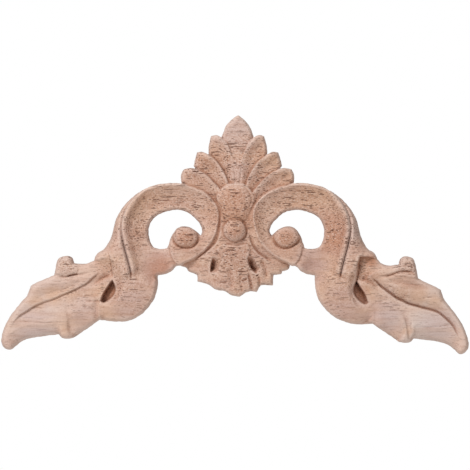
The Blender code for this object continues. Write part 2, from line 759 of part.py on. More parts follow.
    def left_cuts(self) -> list[Cut]:
        """Give the left leaf's own vein, ear line and rib."""
        return [
            self.cut([(57.7, -17.3), (62.4, -21.2), (65.4, -23.5), (69.3, -25.4), (73.1, -27.1),
                      (76.1, -28.4), (79.5, -29.6), (82.9, -30.7), (85.9, -32.3), (88.9, -34.2),
                      (92.3, -36.3), (94.9, -39.1), (96.6, -43.4)],
                     (0.3, 2.5), (1.5, 8.3), (0.1, 0.25), 1.0, 0.4),
            self.cut([(57.7, -17.3), (62.4, -21.2), (69.3, -25.4), (76.1, -28.4), (82.9, -30.7),
                      (88.9, -34.2), (93.2, -37.2)],
                     (0.1, 0.8), (0.25, 0.7), (0.05, 0.3)),
            self.cut([(65.0, -29.9), (62.0, -30.1), (58.6, -30.4)], (0.5, 0.8), (0.5, 0.8)),
            self.cut([(63.7, -19.5), (69.3, -23.1), (76.1, -25.9), (82.5, -27.8), (88.1, -31.0)],
                     (0.9, 4.0), (0.9, 3.6),
                     (0.3, 0.3)),
            self.cut([(77.4, -19.2), (72.7, -19.6), (68.0, -18.6), (63.3, -18.0), (59.0, -17.3)],
                     (1.3, 2.4),
                     (0.3, 1.5), (0.2, 0.6)),
            self.cut([(74.0, -28.9), (72.5, -33.1), (71.4, -38.3), (71.2, -46.0)], (0.2, 2.0), (0.9, 2.6),
                     (0.3, 0.05), 1.0, 1.3)]

    def right_cuts(self) -> list[Cut]:
        """Give the right leaf's own vein, ear line and rib, and the notch above its eye."""
        return [
            self.cut([(57.3, -18.0), (60.7, -21.2), (63.7, -23.7), (68.0, -26.9), (71.4, -28.6),
                      (75.2, -30.1), (79.5, -31.3), (82.9, -32.3), (85.9, -33.3), (88.5, -34.8),
                      (91.5, -37.4), (93.8, -40.0), (96.0, -43.8), (97.1, -47.7)],
                     (2.4, 4.6), (1.1, 8.3), (0.15, 0.2), 1.2),
            self.cut([(57.3, -18.0), (60.7, -21.2), (63.7, -23.7), (68.0, -26.9), (71.4, -28.6),
                      (75.2, -30.1), (79.5, -31.3), (82.9, -32.3), (85.9, -33.3), (88.5, -34.8),
                      (91.5, -37.4), (93.8, -40.0), (96.0, -43.8)],
                     (1.0, 1.1), (1.0, 0.5), (0.1, 0.25)),
            self.cut([(77.0, -18.6), (74.8, -16.5), (70.1, -16.5), (65.8, -17.7), (60.3, -18.4)],
                     (1.6, 1.5),
                     (0.6, 0.9), (0.25, 0.3)),
            self.cut([(69.3, -30.1), (71.8, -34.8), (72.9, -39.1), (74.0, -45.5)], (1.4, 2.6), (0.2, 1.2),
                     (0.6, 0.05), 1.0, 0.9),
            self.cut([(63.3, -18.6), (69.7, -20.3), (76.1, -21.6), (83.4, -23.7)], (1.4, 3.4), (1.4, 2.6),
                     (0.25, 0.25)),
            self.cut([(65.0, -28.2), (62.0, -28.4), (58.6, -28.7)], (0.4, 0.7), (0.4, 0.7)),
            Cut([(53.0, -10.5), (53.0, -13.5), (52.4, -17.7), (51.1, -23.3)], (1.6, 1.0), (1.6, 0.7),
                (0.12, 0.02))]


@dataclass
class BeadAndTongue:
    """The tongue that laps over the petals, and the round bead at its foot."""

    tongue_top: float = 13.6
    tongue_roll: tuple[float, float] = (6.0, 2.0)
    line_in: float = 1.5
    line_depth: float = 0.45
    line_width: float = 0.4
    line_from: tuple[float, float] = (1.0, 9.0)
    line_fade: float = 3.0
    bead_top: float = 15.5
    bead_drop: float = 4.0
    bead_past: float = 0.4
    bead_radius: float = 4.95
    bead_centre: tuple[float, float] = (-0.6, 0.1)

    def tongue_height(self, at: Places, inside: np.ndarray) -> np.ndarray:
        """Crown the tongue, with a thin sunk line inside the upper right of its edge."""
        roll, drop = self.tongue_roll
        crown = self.tongue_top - drop * (1 - np.clip(inside / roll, 0, 1)) ** 2
        line = self.line_depth * np.exp(-((inside - self.line_in) / self.line_width) ** 2)
        return crown - line * ease((at - self.line_from) / self.line_fade).prod(axis=1)

    def forms(self) -> list[Form]:
        """Give the tongue and the bead."""
        tongue = outline(
            [(0.0, 20.9), (3.8, 20.1), (6.8, 17.3), (8.3, 13.5), (7.1, 9.2), (5.1, 4.5)],
            [(5.1, 4.5), (0.0, 1.5), (-5.8, 4.5)],
            [(-5.8, 4.5), (-6.8, 8.8), (-8.7, 13.5), (-7.3, 17.3), (-3.8, 20.2), (0.0, 20.9)])
        centre = np.array(self.bead_centre)
        reach = self.bead_radius + self.bead_past
        bead = Form(ellipse(centre, self.bead_radius, self.bead_radius),
                    dome(centre, reach, reach, self.bead_top, self.bead_drop), 0.5)
        return [Form(tongue, self.tongue_height, 0.9), bead]

    def cuts(self) -> list[Cut]:
        """Give the groove round the bead's lower right."""
        around = ellipse(np.array(self.bead_centre), self.bead_radius + 0.35, self.bead_radius + 0.35, 36)
        lower_right = np.roll(around, 9, axis=0)[:22]
        stroke = (0.8, 0.8)
        return [Cut(lower_right, stroke, stroke, (0.4, 0.4))]


class Carving:
    """All the forms and cuts of the onlay, laid over each other in carving order."""

    def __init__(self) -> None:
        """Lay out the forms from the lowest to the highest."""
        middle = Pendant()
        self.forms = [middle.bed()] + Palmette().forms() + middle.forms()
        self.cuts = middle.cuts()
        self.openings = []
        for side in Side:
            arm = LeafArm(side)
            scroll = Scroll(side)
            self.forms += arm.leaf() + [scroll.band()] + arm.stem() + [scroll.knob()]
            self.cuts += arm.cuts()
            self.openings.append(scroll.opening())
        boss = BeadAndTongue()
        self.forms += boss.forms()
        self.cuts += boss.cuts()

    def spread(self, at: Places) -> np.ndarray:
        """Measure how far inside the whole silhouette each place is.

        Args:
            at: The places.

        Returns:
            The distances, negative outside.
        """
        found = np.full(len(at), -FAR)
        for form in self.forms:
            np.maximum(found, form.reach(at), out=found)
        for loop in self.openings:
            np.minimum(found, -inside_distance(at, loop), out=found)
        return found

    def height(self, at: Places, spread: np.ndarray) -> np.ndarray:
        """Work out the height of the carving above the back.

        Args:
            at: The places, in or on the silhouette.
            spread: How far inside the silhouette each is.

        Returns:
            The heights.
        """
        level = np.zeros(len(at))
        cover = np.zeros(len(at))
        for form in self.forms:
            inside = form.reach(at)
            here = inside > -LAP
            if not here.any():
                continue
            mine = ease((inside[here] + LAP) / form.edge)
            under = cover[here] * (1 - mine)
            own = form.height(at[here], inside[here])
            level[here] = (mine * own + under * level[here]) / np.maximum(mine + under, 1e-9)
            cover[here] = mine + under
        for cut in self.cuts:
            level -= cut.depth(at)
        rounded = EDGE_DROP * (1 - np.clip(spread / EDGE_ROUND, 0, 1)) ** 2
        return np.maximum(level - rounded, LOWEST)


def to_outline(carving: Carving, at: Places, probe: float = 0.05) -> Places:
    """Move places near the silhouette onto it.

    Args:
        carving: The carving whose silhouette it is.
        at: The places.
        probe: How far apart the slope of the distance is read.

    Returns:
        The moved places.
    """
    for _ in range(3):
        here = carving.spread(at)
        slope = np.column_stack([
            carving.spread(at + [probe, 0]) - carving.spread(at - [probe, 0]),
            carving.spread(at + [0, probe]) - carving.spread(at - [0, probe])]) / (2 * probe)
        size = np.maximum(np.hypot(slope[:, 0], slope[:, 1]), 0.3)
        at = at - np.clip(here / size, -4 * probe, 4 * probe)[:, None] * slope / size[:, None]
    return at


def laid_net(carving: Carving, step: float) -> bmesh.types.BMesh:
    """Lay a net over the box of the drawing.

    Args:
        carving: The carving that is drawn.
        step: How wide the net's cells are.

    Returns:
        The net, in drawing millimetres.
    """
    loops = np.vstack([form.loop for form in carving.forms])
    low, high = loops.min(axis=0) - step, loops.max(axis=0) + step
    middle, half = (low + high) / 2, (high - low) / 2
    place = Matrix.Translation((middle[0], middle[1], 0)) @ Matrix.Diagonal((half[0], half[1], 1, 1))
    net = bmesh.new()
    bmesh.ops.create_grid(net, x_segments=int(2 * half[0] / step), y_segments=int(2 * half[1] / step),
                          size=1.0, matrix=place)
    return net


def trim(net: bmesh.types.BMesh, carving: Carving, step: float) -> None:
    """Cut the net to the silhouette.

    Args:
        net: The net, which is changed.
        carving: The carving whose silhouette it is.
        step: How wide the net's cells are.
    """
    away = carving.spread(np.array([v.co.xy for v in net.verts])) < -0.4 * step
    bmesh.ops.delete(net, geom=[v for v, gone in zip(net.verts, away) if gone], context='VERTS')
    loose = [True]
    while loose:
        loose = [v for v in net.verts
                 if not v.link_faces or sum(edge.is_boundary for edge in v.link_edges) > 2]
        bmesh.ops.delete(net, geom=loose, context='VERTS')
    rim = [v for v in net.verts if v.is_boundary]
    for v, (x, z) in zip(rim, to_outline(carving, np.array([v.co.xy for v in rim]))):
        v.co.x, v.co.y = x, z
    beside = {edge.other_vert(v) for v in rim for edge in v.link_edges}
    inner = [v for v in beside if not v.is_boundary]
    for _ in range(3):
        bmesh.ops.smooth_vert(net, verts=inner, factor=0.5, use_axis_x=True, use_axis_y=True)


def carved_face(carving: Carving, step: float) -> bmesh.types.BMesh:
    """Press a fine net of the silhouette to the carving's heights.

    Args:
        carving: The carving.
        step: How wide the net's cells are.

    Returns:
        The face, in drawing millimetres.
    """
    net = laid_net(carving, step)
    trim(net, carving, step)
    at = np.array([v.co.xy for v in net.verts])
    for v, height in zip(net.verts, carving.height(at, carving.spread(at))):
        v.co.z = height
    bmesh.ops.triangulate(net, faces=net.faces)
    return net


def thinned(net: bmesh.types.BMesh, triangles: int) -> bmesh.types.BMesh:
    """Thin the face to about a number of triangles, keeping its shape.

    Args:
        net: The fine face, which is freed.
        triangles: How many triangles are kept.

    Returns:
        The thinned face.
    """
    mesh = bpy.data.meshes.new("face")
    net.to_mesh(mesh)
    helper = bpy.data.objects.new("face", mesh)
    bpy.context.collection.objects.link(helper)
    fewer = helper.modifiers.new("Thin", 'DECIMATE')
    fewer.ratio = triangles / len(net.faces)
    result = bmesh.new()
    result.from_mesh(helper.evaluated_get(bpy.context.evaluated_depsgraph_get()).to_mesh())
    bpy.data.objects.remove(helper)
    bpy.data.meshes.remove(mesh)
    net.free()
    return result


def close_back(net: bmesh.types.BMesh) -> None:
    """Carry the silhouette straight back to the plane of the back, and close the back.

    Args:
        net: The face, which becomes the whole body.
    """
    rim = [edge for edge in net.edges if edge.is_boundary]
    walls = bmesh.ops.extrude_edge_only(net, edges=rim)["geom"]
    for v in walls:
        if isinstance(v, bmesh.types.BMVert):
            v.co.z = 0.0
    back = [edge for edge in net.edges if edge.is_boundary]
    bmesh.ops.triangle_fill(net, edges=back, use_beauty=True, use_dissolve=False, normal=(0, 0, -1))
    bmesh.ops.triangulate(net, faces=net.faces)
    bmesh.ops.recalc_face_normals(net, faces=net.faces)


def raw_wood() -> bpy.types.Material:
    """Make the pale raw hardwood, open pored and unfinished."""
    material = bpy.data.materials.new("raw_wood")
    material.use_nodes = True
    shader = material.node_tree.nodes["Principled BSDF"]
    shader.inputs["Base Color"].default_value = WOOD_COLOUR
    shader.inputs["Roughness"].default_value = WOOD_ROUGHNESS
    shader.inputs["Metallic"].default_value = 0.0
    return material


def corner_onlay() -> bpy.types.Object:
    """Make the whole carved piece.

    Returns:
        The piece, upright, in metres.
    """
    net = thinned(carved_face(Carving(), GRID_STEP), FACE_TRIANGLES)
    close_back(net)
    upright = Matrix.Scale(MM, 4) @ Matrix.Rotation(math.pi / 2, 4, 'X')
    bmesh.ops.transform(net, matrix=upright, verts=net.verts)
    mesh = bpy.data.meshes.new("corner_onlay")
    net.to_mesh(mesh)
    net.free()
    mesh.materials.append(raw_wood())
    piece = bpy.data.objects.new("corner_onlay", mesh)
    bpy.context.collection.objects.link(piece)
    return piece


for old in list(bpy.data.objects):
    bpy.data.objects.remove(old)
corner_onlay()
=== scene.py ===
"""Looks of the carved wooden corner onlay: its finer carving, the raw wood, the lights and the camera.

The carving is drawn in millimetres as places (x, z) from the middle of the bead, with heights in
millimetres above the flat back. The finished mesh is in metres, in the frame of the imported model.
"""

import logging
import math
from collections.abc import Callable, Sequence
from dataclasses import dataclass
from enum import Enum

import bmesh
import bpy
import numpy as np
from mathutils import Matrix, Vector, noise

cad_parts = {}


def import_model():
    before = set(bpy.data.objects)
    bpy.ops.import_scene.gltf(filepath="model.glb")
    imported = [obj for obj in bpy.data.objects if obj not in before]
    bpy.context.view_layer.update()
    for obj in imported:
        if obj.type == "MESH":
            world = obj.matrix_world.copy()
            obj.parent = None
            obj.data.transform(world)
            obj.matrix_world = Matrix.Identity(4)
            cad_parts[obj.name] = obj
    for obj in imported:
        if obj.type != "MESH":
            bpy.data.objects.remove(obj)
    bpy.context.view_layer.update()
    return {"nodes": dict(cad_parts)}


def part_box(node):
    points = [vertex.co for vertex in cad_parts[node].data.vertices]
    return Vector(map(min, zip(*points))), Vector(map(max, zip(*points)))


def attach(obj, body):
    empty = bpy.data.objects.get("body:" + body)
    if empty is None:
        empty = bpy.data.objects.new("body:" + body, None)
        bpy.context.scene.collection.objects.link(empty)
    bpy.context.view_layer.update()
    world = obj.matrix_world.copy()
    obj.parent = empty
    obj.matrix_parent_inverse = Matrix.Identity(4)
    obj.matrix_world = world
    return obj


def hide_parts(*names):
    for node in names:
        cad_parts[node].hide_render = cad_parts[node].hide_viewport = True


LOG = logging.getLogger("corner_onlay")
MM = 0.001
SPLINE_STEPS = 6
RIM_ROUND = 0.8
EDGE_ROUND = 1.4
EDGE_DROP = 1.6
RIGHT_LEAF_DROP = 1.7
RIGHT_LEAF_SHORT = 1.1
LEAF_FROM_OUT = 42.0
LEAF_FROM_UP = -8.0
LEAF_EASE = 15.0
TIP_FROM_OUT = 80.0
TIP_EASE = 20.0
LOWEST = 2.0
FAR = 9.0
LAP = 0.1
FORM_EDGE = 1.1
FADE = (0.2, 0.2)
HOLLOW = 1.5
SOFT = 0.35

Places = np.ndarray
Points = list[tuple[float, float]]
Rule = Callable[[Places, np.ndarray], np.ndarray]
Stroke = tuple[float, float]
Row = tuple[float, float, float, float]
Triple = tuple[float, float, float]
Colour = tuple[float, float, float, float]

GROOVE = [(48.5, 7.5), (49.0, 3.6), (48.7, -1.9), (47.7, -7.1), (46.2, -12.6), (44.9, -17.7), (44.5, -23.3)]
LEFT_VEIN = [(57.7, -17.3), (62.4, -21.2), (65.4, -23.5), (69.3, -25.4), (73.1, -27.1), (76.1, -28.4),
             (79.5, -29.6), (82.9, -30.7), (85.9, -32.3), (88.9, -34.2), (92.3, -36.3), (94.9, -39.1),
             (96.6, -43.4)]
RIGHT_VEIN = [(57.3, -18.0), (60.7, -21.2), (63.7, -23.7), (68.0, -26.9), (71.4, -28.6), (75.2, -30.1),
              (79.5, -31.3), (82.9, -32.3), (85.9, -33.3), (88.5, -34.8), (91.5, -37.4), (93.8, -40.0),
              (96.0, -43.8), (97.1, -47.7)]


class Side(Enum):
    """The two arms of the onlay, as the sign of their places along X."""

    LEFT = -1
    RIGHT = 1


def ease(t: np.ndarray) -> np.ndarray:
    """Rise smoothly from 0 to 1 as t goes from 0 to 1.

    Args:
        t: How far along the rise each value is.

    Returns:
        The eased values.
    """
    t = np.clip(t, 0.0, 1.0)
    return t * t * (3.0 - 2.0 * t)


def smooth_path(points: Points | Places) -> Places:
    """Run a smooth curve through a few points.

    Args:
        points: The points that the curve passes through.

    Returns:
        The places along the curve.
    """
    p = np.array(points, dtype=float)
    if len(p) < 3:
        return p
    ends = np.vstack([2 * p[0] - p[1], p, 2 * p[-1] - p[-2]])
    curve = []
    for a, b, c, d in zip(ends, ends[1:], ends[2:], ends[3:]):
        for k in range(SPLINE_STEPS):
            t = k / SPLINE_STEPS
            curve.append(0.5 * (2 * b + (c - a) * t + (2 * a - 5 * b + 4 * c - d) * t ** 2
                                + (3 * b - a - 3 * c + d) * t ** 3))
    curve.append(p[-1])
    return np.array(curve)


def outline(*runs: Points | Places) -> Places:
    """Join smooth runs into one closed outline, with a cusp where two runs meet.

    Args:
        runs: The runs in order. Each goes on to the next one's first place, and the last to the first's.

    Returns:
        The corners of the closed outline.
    """
    return np.vstack([smooth_path([*run, following[0]])[:-1]
                      for run, following in zip(runs, runs[1:] + runs[:1])])


def ellipse(centre: Places, radius_out: float, radius_up: float, count: int = 48) -> Places:
    """Draw an ellipse as a closed outline.

    Args:
        centre: Its middle.
        radius_out: Half its width.
        radius_up: Half its height.
        count: How many corners it has.

    Returns:
        The corners of the outline.
    """
    turn = np.linspace(0, 2 * math.pi, count, endpoint=False)
    return np.column_stack([centre[0] + radius_out * np.cos(turn), centre[1] + radius_up * np.sin(turn)])


def path_distance(at: Places, path: Places) -> np.ndarray:
    """Measure how far each place is from a path.

    Args:
        at: The places.
        path: The corners of the path.

    Returns:
        The distances.
    """
    x, z = at[:, 0].copy(), at[:, 1].copy()
    best = np.full(len(at), 1e9)
    for a, b in zip(path, path[1:]):
        run = b - a
        t = ((x - a[0]) * run[0] + (z - a[1]) * run[1]) / run.dot(run)
        np.clip(t, 0.0, 1.0, out=t)
        gap = (x - a[0] - t * run[0]) ** 2 + (z - a[1] - t * run[1]) ** 2
        np.minimum(best, gap, out=best)
    return np.sqrt(best)


def path_places(at: Places, path: Places) -> tuple[np.ndarray, np.ndarray, np.ndarray]:
    """Find where each place lies beside a path.

    Args:
        at: The places.
        path: The corners of the path.

    Returns:
        The distance to the path, the side of it (+1 to its left), and how far along it, from 0 to 1.
    """
    best = np.full(len(at), 1e9)
    side = np.ones(len(at))
    along = np.zeros(len(at))
    start = 0.0
    for a, b in zip(path, path[1:]):
        length = float(np.hypot(*(b - a)))
        run = (b - a) / length
        rel = at - a
        t = np.clip(rel @ run, 0.0, length)
        gap = np.hypot(rel[:, 0] - t * run[0], rel[:, 1] - t * run[1])
        nearer = gap < best
        best[nearer] = gap[nearer]
        turn = run[0] * rel[nearer, 1] - run[1] * rel[nearer, 0]
        side[nearer] = np.where(turn >= 0, 1.0, -1.0)
        along[nearer] = start + t[nearer]
        start += length
    return best, side, along / start


def inside_distance(at: Places, loop: Places) -> np.ndarray:
    """Measure how far inside a closed outline each place is.

    Args:
        at: The places.
        loop: The corners of the outline.

    Returns:
        The distances, negative outside the outline.
    """
    closed = np.vstack([loop, loop[:1]])
    x, z = at[:, 0].copy(), at[:, 1].copy()
    inside = np.zeros(len(at), dtype=bool)
    for a, b in zip(closed, closed[1:]):
        if a[1] != b[1]:
            crosses = (a[1] > z) != (b[1] > z)
            inside ^= crosses & (x < a[0] + (z - a[1]) / (b[1] - a[1]) * (b[0] - a[0]))
    return np.where(inside, 1.0, -1.0) * path_distance(at, closed)


def placed(points: Points, side: Side, shift: float = 0.0) -> Places:
    """Put (out, up) places on one side, with the right leaf's own drop.

    Args:
        points: Distances out from the middle, and heights.
        side: The side that they are for.
        shift: How far right of the bead the middle is.

    Returns:
        The same places as (x, z).
    """
    p = np.array(points, dtype=float)
    out, up = p[:, 0], p[:, 1]
    if side is Side.RIGHT:
        low = ease((out - LEAF_FROM_OUT) / LEAF_EASE) * ease((LEAF_FROM_UP - up) / LEAF_EASE)
        up = up - RIGHT_LEAF_DROP * low
        out = out - RIGHT_LEAF_SHORT * ease((out - TIP_FROM_OUT) / TIP_EASE)
    return np.column_stack([shift + side.value * out, up])


class Form:
    """A carved form: a closed outline, its height rule, and how wide its cut edge is."""

    def __init__(self, loop: Places, height: Rule, edge: float = FORM_EDGE) -> None:
        """Keep the form's sizes, and the box that it can reach."""
        self.loop = loop
        self.height = height
        self.edge = edge
        self.low = loop.min(axis=0) - FAR
        self.high = loop.max(axis=0) + FAR

    def reach(self, at: Places) -> np.ndarray:
        """Measure how far inside the form each place is.

        Args:
            at: The places.

        Returns:
            The distances, or -FAR well away from the form.
        """
        found = np.full(len(at), -FAR)
        near = np.all((at > self.low) & (at < self.high), axis=1)
        if near.any():
            found[near] = inside_distance(at[near], self.loop)
        return found


class Cut:
    """A stroke of the gouge along a path, with a depth and a width on each side of it."""

    def __init__(self, path: Points | Places, left: Stroke, right: Stroke,
                 fade: Stroke = FADE, hollow: float = HOLLOW, soft: float = SOFT) -> None:
        """Keep the stroke's sizes: (depth, width) to its left and right, its ends' fades, its hollowness."""
        self.path = smooth_path(path)
        self.left = left
        self.right = right
        self.fade = fade
        self.hollow = hollow
        self.soft = soft
        widest = max(left[1], right[1])
        self.low = self.path.min(axis=0) - widest
        self.high = self.path.max(axis=0) + widest

    def depth(self, at: Places) -> np.ndarray:
        """Work out how much the stroke takes off.

        Args:
            at: The places.

        Returns:
            The depth taken off at each place.
        """
        found = np.zeros(len(at))
        near = np.all((at > self.low) & (at < self.high), axis=1)
        if not near.any():
            return found
        dist, side, along = path_places(at[near], self.path)
        strength = ease(along / self.fade[0]) * ease((1 - along) / self.fade[1])
        falls = [depth * np.clip(1 - dist / width, 0, 1) ** self.hollow
                 for depth, width in (self.left, self.right)]
        mix = ease(0.5 + 0.5 * side * dist / self.soft)
        found[near] = strength * (falls[0] * mix + falls[1] * (1 - mix))
        return found


def flat(top: float) -> Rule:
    """Give the rule of a level surface."""
    return lambda at, inside: np.full(len(at), top)


def pillow(top: float, roll: float, drop: float) -> Rule:
    """Give the rule of a level surface that rolls off towards its outline.

    Args:
        top: Its height.
        roll: How wide the roll is.
        drop: How far it falls there.

    Returns:
        The height rule.
    """
    return lambda at, inside: top - drop * (1 - np.clip(inside / roll, 0, 1)) ** 2


def dome(centre: Places, radius_out: float, radius_up: float, top: float, drop: float) -> Rule:
    """Give the rule of a round boss.

    Args:
        centre: Its middle.
        radius_out: Its reach to the sides.
        radius_up: Its reach up and down.
        top: Its height in the middle.
        drop: How far it falls to its edge.

    Returns:
        The height rule.
    """
    def height(at: Places, inside: np.ndarray) -> np.ndarray:
        far = ((at[:, 0] - centre[0]) / radius_out) ** 2 + ((at[:, 1] - centre[1]) / radius_up) ** 2
        return top - drop * (1 - np.sqrt(np.clip(1 - far, 0, 1)))
    return height


def scoop(rim: Places, top: float, fall: float, reach: float) -> Rule:
    """Give the rule of a hollow that falls away from its sharp rim.

    Args:
        rim: The path of the rim.
        top: The height of the rim.
        fall: How far the hollow falls.
        reach: How far from the rim it is lowest.

    Returns:
        The height rule.
    """
    def height(at: Places, inside: np.ndarray) -> np.ndarray:
        return top - fall * ease(path_distance(at, rim) / reach)
    return height


def cove(rim: Places, top: float, fall: float, reach: float, rounding: float = RIM_ROUND) -> Rule:
    """Give the rule of a rounded rim, and of the hollow moulding inside it.

    Args:
        rim: The path of the rim.
        top: The height of the rim.
        fall: How far the moulding falls.
        reach: How wide the moulding is.
        rounding: How round the rim is.

    Returns:
        The height rule.
    """
    def height(at: Places, inside: np.ndarray) -> np.ndarray:
        away = path_distance(at, rim)
        t = np.clip(away / (reach + rounding), 0, 1)
        return top - fall * (1 - (1 - t) ** 2) * ease(away / (2 * rounding))
    return height


def shoulder(edge: Places, top: float, drop: float, reach: float) -> Rule:
    """Give the rule of a level surface that rolls off towards one edge only.

    Args:
        edge: The path of that edge.
        top: The surface's height.
        drop: How far it falls there.
        reach: How wide the roll is.

    Returns:
        The height rule.
    """
    def height(at: Places, inside: np.ndarray) -> np.ndarray:
        return top - drop * (1 - np.clip(path_distance(at, edge) / reach, 0, 1)) ** 2
    return height


@dataclass
class Palmette:
    """The fan of seven petals. Each upper petal has a sharp rim and is scooped below it."""

    centre_top: float = 9.4
    centre_rise: float = 1.2
    centre_foot: float = 38.0
    centre_ease: float = 12.0
    rim_tops: tuple[float, float, float] = (10.6, 11.3, 11.9)
    fall: float = 1.9
    reach: float = 5.5
    shift: float = 0.7
    edge: float = 0.85

    def forms(self) -> list[Form]:
        """Give the petals, from the lowest to the highest."""
        centre = outline([(0.9, 49.6), (3.8, 47.2), (6.0, 44.2)],
                         [(7.5, 40.4), (5.6, 34.4), (3.0, 25.9)],
                         [(0.9, 10.9), (-1.3, 25.9), (-4.3, 34.4)],
                         [(-6.2, 40.2), (-4.3, 44.7), (-2.1, 47.2)])
        found = [Form(centre, self.centre_height, self.edge)]
        for runs, top in zip(self.petals(), self.rim_tops):
            for side in Side:
                drawn = [placed(run, side, self.shift) for run in runs]
                rim = smooth_path([*drawn[0], drawn[1][0]])
                found.append(Form(outline(*drawn), scoop(rim, top, self.fall, self.reach), self.edge))
        return found

    def centre_height(self, at: Places, inside: np.ndarray) -> np.ndarray:
        """Let the middle petal rise to its foot, where the petals beside it lap over it."""
        return self.centre_top + self.centre_rise * ease((self.centre_foot - at[:, 1]) / self.centre_ease)

    def petals(self) -> list[tuple[Points, Points, Points, Points]]:
        """Give each side petal's rim, back, blunt side and top, as (out, up) runs."""
        inner = ([(6.9, 40.0), (4.3, 37.2), (2.6, 33.6), (1.3, 29.3), (0.7, 23.3)],
                 [(0.5, 13.0), (6.7, 20.7), (10.1, 27.1)],
                 [(12.7, 33.1), (12.4, 36.6)],
                 [(11.4, 40.4), (9.2, 40.8)])
        middle = ([(12.7, 32.7), (8.8, 30.1), (5.8, 25.9), (3.7, 21.2)],
                  [(1.5, 12.2), (7.5, 13.9), (13.5, 20.7)],
                  [(18.9, 27.6), (18.4, 30.1)],
                  [(17.4, 33.4), (15.2, 33.7)])
        outer = ([(17.8, 26.5), (13.5, 24.4), (9.2, 20.3), (5.8, 16.0)],
                 [(4.1, 11.3), (10.1, 11.8), (16.9, 15.2)],
                 [(24.2, 20.7), (24.2, 23.7)],
                 [(23.1, 26.3), (20.4, 26.8)])
        return [inner, middle, outer]


